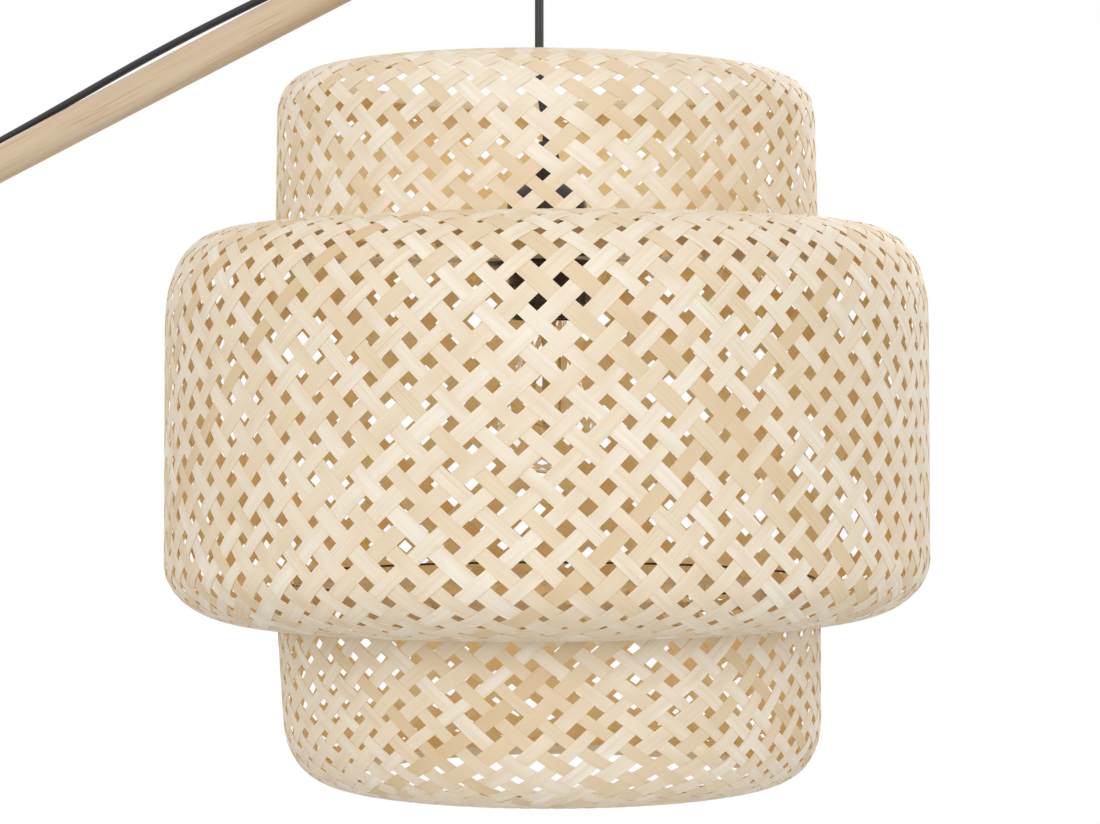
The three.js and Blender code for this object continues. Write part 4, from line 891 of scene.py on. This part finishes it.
def make_tie(name, turn, coil, material):
    """A cable tie pulled tight round all turns of the coil at one place."""
    centre = np.array([*COIL_CENTRE, 0])
    outward = np.array([math.cos(turn), math.sin(turn), 0])
    onward = np.array([-math.sin(turn), math.cos(turn), 0])
    local = np.array(coil) - centre
    here = local[(abs(local @ onward) < TIE_WIDE) & (local @ outward > 0)]
    half = CORD_WIDTH / 2 + TIE_THICK / 2
    low_r, high_r = (here @ outward).min() - half, (here @ outward).max() + half
    flat = CORD_THICK / 2 + TIE_THICK / 2
    low_z, high_z = here[:, 2].min() - flat, here[:, 2].max() + flat
    bend = CORD_THICK / 2
    path = []
    corners = [(high_r, low_z, -90), (high_r, high_z, 0), (low_r, high_z, 90), (low_r, low_z, 180)]
    for r, z, first in corners:
        r += -bend if r == high_r else bend
        z += bend if z == low_z else -bend
        for angle in np.radians(np.linspace(first, first + 90, TIE_CORNER_STEPS)):
            path.append((r + bend * math.cos(angle), z + bend * math.sin(angle)))
    path = np.array(path)
    along = unit(np.roll(path, -1, axis=0) - np.roll(path, 1, axis=0))
    normal = np.stack([along[:, 1], -along[:, 0]], 1)
    vertices = []
    for (r, z), (nr, nz) in zip(path, normal):
        for across, out in ((-1, -1), (1, -1), (1, 1), (-1, 1)):
            at = centre + outward * (r + nr * out * TIE_THICK / 2) + onward * across * TIE_WIDE / 2
            at[2] = z + nz * out * TIE_THICK / 2
            vertices.append(at * MM)
    faces = []
    for i in range(len(path)):
        first, second = 4 * i, 4 * ((i + 1) % len(path))
        for k in range(4):
            m = (k + 1) % 4
            faces.append((first + k, second + k, second + m, first + m))
    item = add_mesh(name, vertices, faces, [material])
    head = bmesh.new()
    head.from_mesh(item.data)
    long, wide, high = TIE_HEAD
    middle = centre + outward * (high_r + low_r) / 2
    middle[2] = high_z + (high - TIE_THICK) / 2
    place = Matrix.Translation(Vector(middle) * MM)
    turned = Matrix.Rotation(turn, 4, "Z") @ Matrix.Diagonal((long * MM, wide * MM, high * MM, 1))
    cube = bmesh.ops.create_cube(head, size=1, matrix=place @ turned)
    edges = {edge for vertex in cube["verts"] for edge in vertex.link_edges}
    bmesh.ops.bevel(head, geom=list(edges), offset=TIE_HEAD_EDGE * MM, segments=2, affect="EDGES")
    head.to_mesh(item.data)
    head.free()
    smooth_by_angle(item, SHARP_ON_TIE)
    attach(item, "base")
    return item


def make_lead(materials):
    route = lead_route()
    item = flat_cord("lead", route, materials["cord_sheath"], (0, 1, 0))
    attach(item, "base")
    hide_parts("lead_run", "lead_link", "lead_coil")
    ties = [make_tie(f"coil_tie_{i + 1}", turn, coil_points(), materials["black_plastic"])
            for i, turn in enumerate(TIE_TURNS)]


# Profiles of the drums: points of radius and height, close together


def arc(centre, radii, start, end, power=2):
    """A quarter turn of a rounded corner, or less; a power above 2 makes it squarer."""
    points = []
    for angle in np.radians(np.linspace(start, end, ARC_STEPS + 1)):
        across = math.copysign(abs(math.cos(angle)) ** (2 / power), math.cos(angle))
        up = math.copysign(abs(math.sin(angle)) ** (2 / power), math.sin(angle))
        points.append((centre[0] + radii[0] * across, centre[1] + radii[1] * up))
    return points


def low_drum_profile():
    rim = DRUM_RADIUS - LOW_CORNER[0]
    return [*arc((rim, LOW_CORNER[1]), LOW_CORNER, -90, 0, power=RIM_POWER), (DRUM_RADIUS, LOW_DRUM_TOP)]


def belt_profile():
    inner = DRUM_RADIUS + DRUM_GAP
    low = (BELT_RADIUS - LOW_BELT_CORNER[0], BELT_LOW + LOW_BELT_CORNER[1])
    high = (BELT_RADIUS - HIGH_BELT_CORNER[0], BELT_HIGH - HIGH_BELT_CORNER[1])
    return [
        (inner, BELT_LOW),
        *arc(low, LOW_BELT_CORNER, -90, 0),
        *arc(high, HIGH_BELT_CORNER, 0, 90, power=SHOULDER_POWER),
        (inner, BELT_HIGH),
    ]


def high_drum_profile():
    rim = DRUM_RADIUS - HIGH_CORNER[0]
    return [
        (DRUM_RADIUS, BELT_HIGH - DRUM_INSET),
        *arc((rim, HIGH_WALL_TOP), HIGH_CORNER, 0, 90, power=RIM_POWER),
    ]


class Profile:
    """A drum's outline with its length, so that a strip can be placed by its share of the way."""

    def __init__(self, points):
        points = np.array(points, float)
        steps = np.hypot(*np.diff(points, axis=0).T)
        along = np.concatenate([[0], np.cumsum(steps)])
        self.length = along[-1]
        self.along = np.linspace(0, self.length, PROFILE_STATIONS)
        self.radius = np.interp(self.along, along, points[:, 0])
        self.height = np.interp(self.along, along, points[:, 1])
        slope_r = np.gradient(self.radius, self.along)
        slope_z = np.gradient(self.height, self.along)
        size = np.hypot(slope_r, slope_z)
        self.out_r = slope_z / size
        self.out_z = -slope_r / size

    def at(self, along, name):
        return np.interp(along, self.along, getattr(self, name))


# The three drums: strips each way and their width, their lean from the vertical on the wall, the
# leans that they reach at the low and the high end, the lengths over which they sweep round to
# those, the place of one hole as its angle and its height, and how the drum hangs
DRUMS = {
    "lower": {
        "strips": 46, "wide": 8.0, "lean": 50.5, "ends": (84, 52), "sweeps": (70, 4),
        "hole": (math.radians(-59.4), 76), "seed": 11,
        "shift": (4.4, 0.4), "taper": 1.8, "raise": (2.2, 0), "tilt": (0.2, 0.6),
        "nodes": ("shade_lower", "shade_lower_rim"), "profile": low_drum_profile,
    },
    "middle": {
        "strips": 63, "wide": 8.9, "lean": 46.6, "ends": (84, 84), "sweeps": (92, 90),
        "hole": (math.radians(-61.15), 264.3), "seed": 12,
        "shift": (0, -0.2), "taper": -0.4, "raise": (0, 0.8), "tilt": (0.4, 0),
        "nodes": ("shade_middle", "shade_middle_foot", "shade_middle_shoulder"),
        "profile": belt_profile,
    },
    "upper": {
        "strips": 48, "wide": 8.5, "lean": 47.4, "ends": (48, 84), "sweeps": (4, 66),
        "hole": (math.radians(-60.6), 358.1), "seed": 13,
        "shift": (0, -0.8), "taper": -1.2, "raise": (0, -2.6), "tilt": (-0.35, 0),
        "nodes": ("shade_upper", "shade_upper_rim"), "profile": high_drum_profile,
    },
}


def turning(profile, drum):
    """The angle that a strip has turned round the shade at each station, seen from the hole."""
    lean = np.full(len(profile.along), math.radians(drum["lean"]))
    from_ends = (profile.along, profile.length - profile.along)
    for away, end, sweep in zip(from_ends, drum["ends"], drum["sweeps"]):
        lean += math.radians(end - drum["lean"]) * np.clip(1 - away / sweep, 0, 1) ** SWEEP_POWER
    rate = np.tan(lean) / profile.radius
    steps = np.diff(profile.along)
    turned = np.concatenate([[0], np.cumsum((rate[1:] + rate[:-1]) / 2 * steps)])
    return turned - np.interp(drum["hole"][1], profile.height, turned)


def make_swells(chance):
    """Slow waves over a drum: how many go round it, how far each leans, and where it starts."""
    made = []
    for _ in range(SWELL_WAVES):
        count, slant = chance.randint(*SWELL_COUNT), chance.uniform(-SWELL_SLANT, SWELL_SLANT)
        made.append((count, slant, chance.uniform(0, 2 * math.pi)))
    return made


def swell(swells, angle, share):
    """How far the weave has wandered at a place, as it stays put at the rims."""
    total = sum(np.sin(count * angle + slant * share + start) for count, slant, start in swells)
    return total * DRIFT * 2 * share * (1 - share)


def wave(turns, chance, size):
    """A slow wander along a strip, made of two waves."""
    total = np.zeros(len(turns))
    for swings in [chance.uniform(*span) for span in WANDER_SWINGS]:
        total += np.sin(turns * swings + chance.uniform(0, 2 * math.pi))
    return total * size / 2


def settled(points, drum, profile):
    """The drum as it hangs in the photograph: slightly shifted, tapered, raised and tilted."""
    low, high = profile.height.min(), profile.height.max()
    share = (points[:, 2] - low) / (high - low)
    across = points @ PICTURE_RIGHT
    made = points.copy()
    narrow = drum["taper"] * (share - 0.5) * 2 / DRUM_RADIUS
    made[:, :2] *= (1 + narrow)[:, None]
    ends = drum["shift"]
    made += (ends[0] + (ends[1] - ends[0]) * share)[:, None] * PICTURE_RIGHT
    ends = drum["raise"]
    made[:, 2] += ends[0] * (1 - share) ** 2 + ends[1] * share**2
    right_up, front_up = (math.tan(math.radians(angle)) for angle in drum["tilt"])
    made[:, 2] += across * right_up + points @ TOWARD_CAMERA * front_up
    return made


def strip_rings(profile, drum, swells, stations, family, start, chance):
    """The six-sided section of one strip at each of its stations."""
    turns, along = stations
    strips = drum["strips"]
    angle = start + family * turns
    share = along / profile.length
    along = along + swell(swells[0], angle, share)
    radius = profile.at(along, "radius")
    out_r, out_z = profile.at(along, "out_r"), profile.at(along, "out_z")
    angle = angle + (swell(swells[1], angle, share) + wave(turns, chance, STRIP_WANDER)) / radius
    row = strips * turns / math.pi
    lift = family * STRIP_LIFT * np.clip(CROSSING_FLATNESS * np.cos(math.pi * row), -1, 1)
    here = radius + lift * out_r
    level = profile.at(along, "height") + lift * out_z
    centre = np.stack([here * np.cos(angle), here * np.sin(angle), level], 1)
    tangent = unit(np.gradient(centre, axis=0))
    out = np.stack([out_r * np.cos(angle), out_r * np.sin(angle), out_z], 1)
    side = unit(np.cross(out, tangent))
    out = np.cross(tangent, side)
    climb = np.gradient(along) / np.hypot(np.gradient(along), radius * np.gradient(turns))
    room = 2 * math.pi * radius / strips * climb * STRIP_CLOSEST
    own = drum["wide"] * chance.uniform(1 - STRIP_SPREAD, 1 + STRIP_SPREAD)
    wide = np.minimum(own * (1 + wave(turns, chance, WIDTH_WANDER)), room)
    half = (wide / 2)[:, None]
    thick = STRIP_THICK / 2
    shoulder = thick - STRIP_CROWN
    return centre, np.stack([
        centre + side * half - out * thick,
        centre + side * half + out * shoulder,
        centre + out * thick,
        centre - side * half + out * shoulder,
        centre - side * half - out * thick,
        centre - out * shoulder,
    ], 1)


def label_strips(mesh, tints, uvs):
    """Store each strip's tint, and how far along and across its strip each point lies."""
    attribute = mesh.attributes.new("tint", "FLOAT", "POINT")
    attribute.data.foreach_set("value", tints.astype(np.float32))
    layer = mesh.uv_layers.new(name="strip")
    loops = np.zeros(len(mesh.loops), np.int32)
    mesh.loops.foreach_get("vertex_index", loops)
    layer.data.foreach_set("uv", uvs.astype(np.float32)[loops].ravel())


def woven_drum(name, drum, materials):
    """Two families of strips that pass over and under each other, as one mesh."""
    chance = random.Random(drum["seed"])
    profile = Profile(drum["profile"]())
    turned = turning(profile, drum)
    count = int(drum["strips"] * (turned[-1] - turned[0]) / math.pi * STEPS_PER_ROW)
    turns = np.linspace(turned[0], turned[-1], count + 1)
    stations = (turns, np.interp(turns, turned, profile.along))
    sides = len(STRIP_LOOKS)
    across = np.array(STRIP_ACROSS) * drum["wide"] * MM
    swells = (make_swells(chance), make_swells(chance))
    vertices, faces, face_materials, tints, uvs = [], [], [], [], []
    for family in (1, -1):
        for strip in range(drum["strips"]):
            start = drum["hole"][0] + (2 * strip - 1) * math.pi / drum["strips"]
            centre, rings = strip_rings(profile, drum, swells, stations, family, start, chance)
            first = len(vertices) * sides * (count + 1)
            vertices.append(settled(rings.reshape(-1, 3), drum, profile))
            steps = np.linalg.norm(np.diff(centre, axis=0), axis=1)
            long = np.concatenate([[0], np.cumsum(steps)]) * MM + chance.uniform(0, GRAIN_START)
            offset = across + chance.uniform(0, 1)
            uvs.append(np.stack(np.broadcast_arrays(long[:, None], offset[None, :]), 2).reshape(-1, 2))
            tints.append(np.full(sides * (count + 1), chance.random() ** TINT_POWER))
            faces.extend(tube_faces(first, count + 1, sides))
            face_materials.extend(STRIP_LOOKS * count + (EDGE, EDGE))
    points = (np.concatenate(vertices) + np.array(SHADE_PLACE)) * MM
    # The inside faces carry the pith tone with its painted glow of light through the strips
    looks = [materials[key] for key in ("bamboo_strip", "bamboo_edge", "bamboo_inside")]
    item = add_mesh(name, points, faces, looks, face_materials)
    label_strips(item.data, np.concatenate(tints), np.concatenate(uvs))
    smooth_by_angle(item, SHARP_ON_STRIP)
    return item


def settle_hoop(item, drum):
    """A hoop follows the drum that it stiffens."""
    place = np.array(SHADE_PLACE)
    points = settled(points_of(item.data) / MM - place, drum, Profile(drum["profile"]()))
    item.data.vertices.foreach_set("co", ((points + place) * MM).ravel())
    item.data.update()


def make_shade(frame, materials):
    """The woven drums, and their hoops."""
    for drum, hoops in DRUM_HOOPS.items():
        for piece in hoops:
            settle_hoop(respun(frame, materials, *piece, origin=(REACH, 0, 0)), DRUMS[drum])
    round_hoop(frame, materials, "cane_ring", "cane_hoop", CANE_RADIUS)
    round_hoop(frame, materials, "steel_ring", "wire_ring", WIRE_RADIUS)
    for name, drum in DRUMS.items():
        item = woven_drum(f"woven_{name}", drum, materials)
        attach(item, "shade")
        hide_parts(*drum["nodes"])


# Rigid pieces


def round_hoop(frame, materials, name, node, tube):
    """A hoop of round rod, as wide and as high as its CAD node."""
    low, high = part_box(node)
    radius = (high[0] - low[0]) / 2 - tube * MM
    level = (low[2] + high[2]) / 2
    angles = np.linspace(0, 2 * math.pi, TUBE_SIDES, endpoint=False)
    outline = [(radius + tube * MM * math.cos(a), level + tube * MM * math.sin(a)) for a in angles]
    origin = np.array([REACH, 0, 0]) * MM
    material = materials[frame["slots"][node]]
    item = spin(name, np.array(outline), True, origin, (0, 0, 1), material)
    seat_piece(item, node, frame, SHARP_ON_HOOP)


def make_arm(frame, materials):
    """Turned wood with two flats at the pivot."""
    flat_long, flat_thick = ARM_FLAT
    half = flat_long / 2
    rounds = [
        (-ARM_TAIL, ARM_RADIUS - ARM_CHAMFER), (-ARM_TAIL + ARM_CHAMFER, ARM_RADIUS),
        (-half, ARM_RADIUS), (-half, ARM_RADIUS), (half, ARM_RADIUS), (half, ARM_RADIUS),
        (ARM_HIGH - ARM_CHAMFER, ARM_RADIUS), (ARM_HIGH, ARM_RADIUS - ARM_CHAMFER),
    ]
    flattened = (3, 4)
    angles = np.linspace(0, 2 * math.pi, SPUN_SIDES, endpoint=False)
    vertices = []
    for i, (along, radius) in enumerate(rounds):
        for angle in angles:
            across, above = radius * math.cos(angle), radius * math.sin(angle)
            if i in flattened:
                across = min(max(across, -flat_thick / 2), flat_thick / 2)
            x, _, z = arm_point(along, above)
            vertices.append(mm(x, across, z))
    faces = tube_faces(0, len(rounds), SPUN_SIDES)
    item = add_mesh("wooden_arm", vertices, faces, [materials["arm_wood"]])
    weld(item.data)
    seat_piece(item, "arm", frame)


def plug_pin_axis(node):
    low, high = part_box(node)
    return (0, *((low[i] + high[i]) / 2 / MM for i in (1, 2)))


def make_rigid_pieces(frame, materials):
    """Every piece but the cords and the shade's walls and hoops; returns those on the lead."""
    make = (frame, materials)
    pivot = (0, 0, PIVOT_HEIGHT)
    arm_way = (math.cos(ARM_RISE), 0, math.sin(ARM_RISE))
    turned = (
        (ON_MAST_AXIS, (0, 0, 0), (0, 0, 1)),
        (ON_ARM_AXIS, pivot, arm_way),
        (ON_PIVOT_AXIS, pivot, (0, 1, 0)),
        (ON_SHADE_AXIS, (REACH, 0, 0), (0, 0, 1)),
    )
    for pieces, origin, axis in turned:
        for piece in pieces:
            respun(*make, *piece, origin=origin, axis=axis)
    make_arm(*make)
    for piece in NOT_TURNED:
        polished(*make, *piece)
    on_lead = [polished(*make, *piece) for piece in ON_LEAD]
    for piece in PLUG_PINS:
        on_lead.append(respun(*make, *piece, origin=plug_pin_axis(piece[1]), axis=(1, 0, 0)))
    return on_lead


# Camera, lights and floor


def make_camera():
    data = bpy.data.cameras.new("camera")
    camera = put_in_scene("camera", data)
    data.lens = CAMERA_LENS
    data.sensor_width = 36
    data.shift_x, data.shift_y = CAMERA_SHIFT
    data.clip_start, data.clip_end = CAMERA_CLIP
    back = Vector(TOWARD_CAMERA)
    look_along(camera, mm(REACH, 0, CAMERA_HEIGHT) + back * CAMERA_DISTANCE * MM, -back)
    bpy.context.scene.camera = camera


def area_light(name, place, size, power):
    data = bpy.data.lights.new(name, "AREA")
    data.shape = "RECTANGLE"
    data.size, data.size_y = size
    data.energy = power
    light = put_in_scene(name, data)
    look_along(light, place, Vector(LIGHT_AIM) - Vector(place))
    light.visible_camera = False


def make_world():
    """White wherever the camera looks, straight, mirrored or through glass, and softer light."""
    n = Nodes("studio", world=True)
    bpy.context.scene.world = n.owner
    rays = n.add("ShaderNodeLightPath").outputs
    seen = rays["Is Camera Ray"]
    for key in ("Is Transmission Ray", "Is Glossy Ray"):
        seen = n.maths("MAXIMUM", seen, rays[key])
    mix = n.add("ShaderNodeMixShader")
    n.link(seen, mix.inputs[0])
    for strength, socket in ((WORLD_LIGHT, mix.inputs[1]), (WORLD_SEEN, mix.inputs[2])):
        background = n.add("ShaderNodeBackground")
        background.inputs["Color"].default_value = (1, 1, 1, 1)
        background.inputs["Strength"].default_value = strength
        n.link(background.outputs[0], socket)
    n.link(mix.outputs[0], n.output.inputs["Surface"])


def make_floor():
    half = FLOOR_HALF
    corners = [(-half, -half, 0), (half, -half, 0), (half, half, 0), (-half, half, 0)]
    paint = two_toned("floor_paint", (1.5, 1.5, 1.5), 2, (213, 212, 209), (217, 216, 213), 0.85)
    item = add_mesh("floor", corners, [(0, 1, 2, 3)], [paint])
    item.location.z = -FLOOR_DROP


reset_scene()
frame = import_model()
frame["slots"] = {row["node"]: row["material_slot"] for row in frame["record"]["subparts"]}
groups = frame["record"]["behaviour"]["bodies"]
frame["body_of"] = {node: body for body, members in groups.items() for node in members}
bpy.context.scene.view_settings.view_transform = "Standard"
make_camera()
materials = make_materials()
on_lead = make_rigid_pieces(frame, materials)
make_lead(materials)
make_held_cords(materials)
make_loop(materials)
make_pendant_cord(materials)
make_shade(frame, materials)
make_floor()
make_world()
for light in LIGHTS:
    area_light(*light)
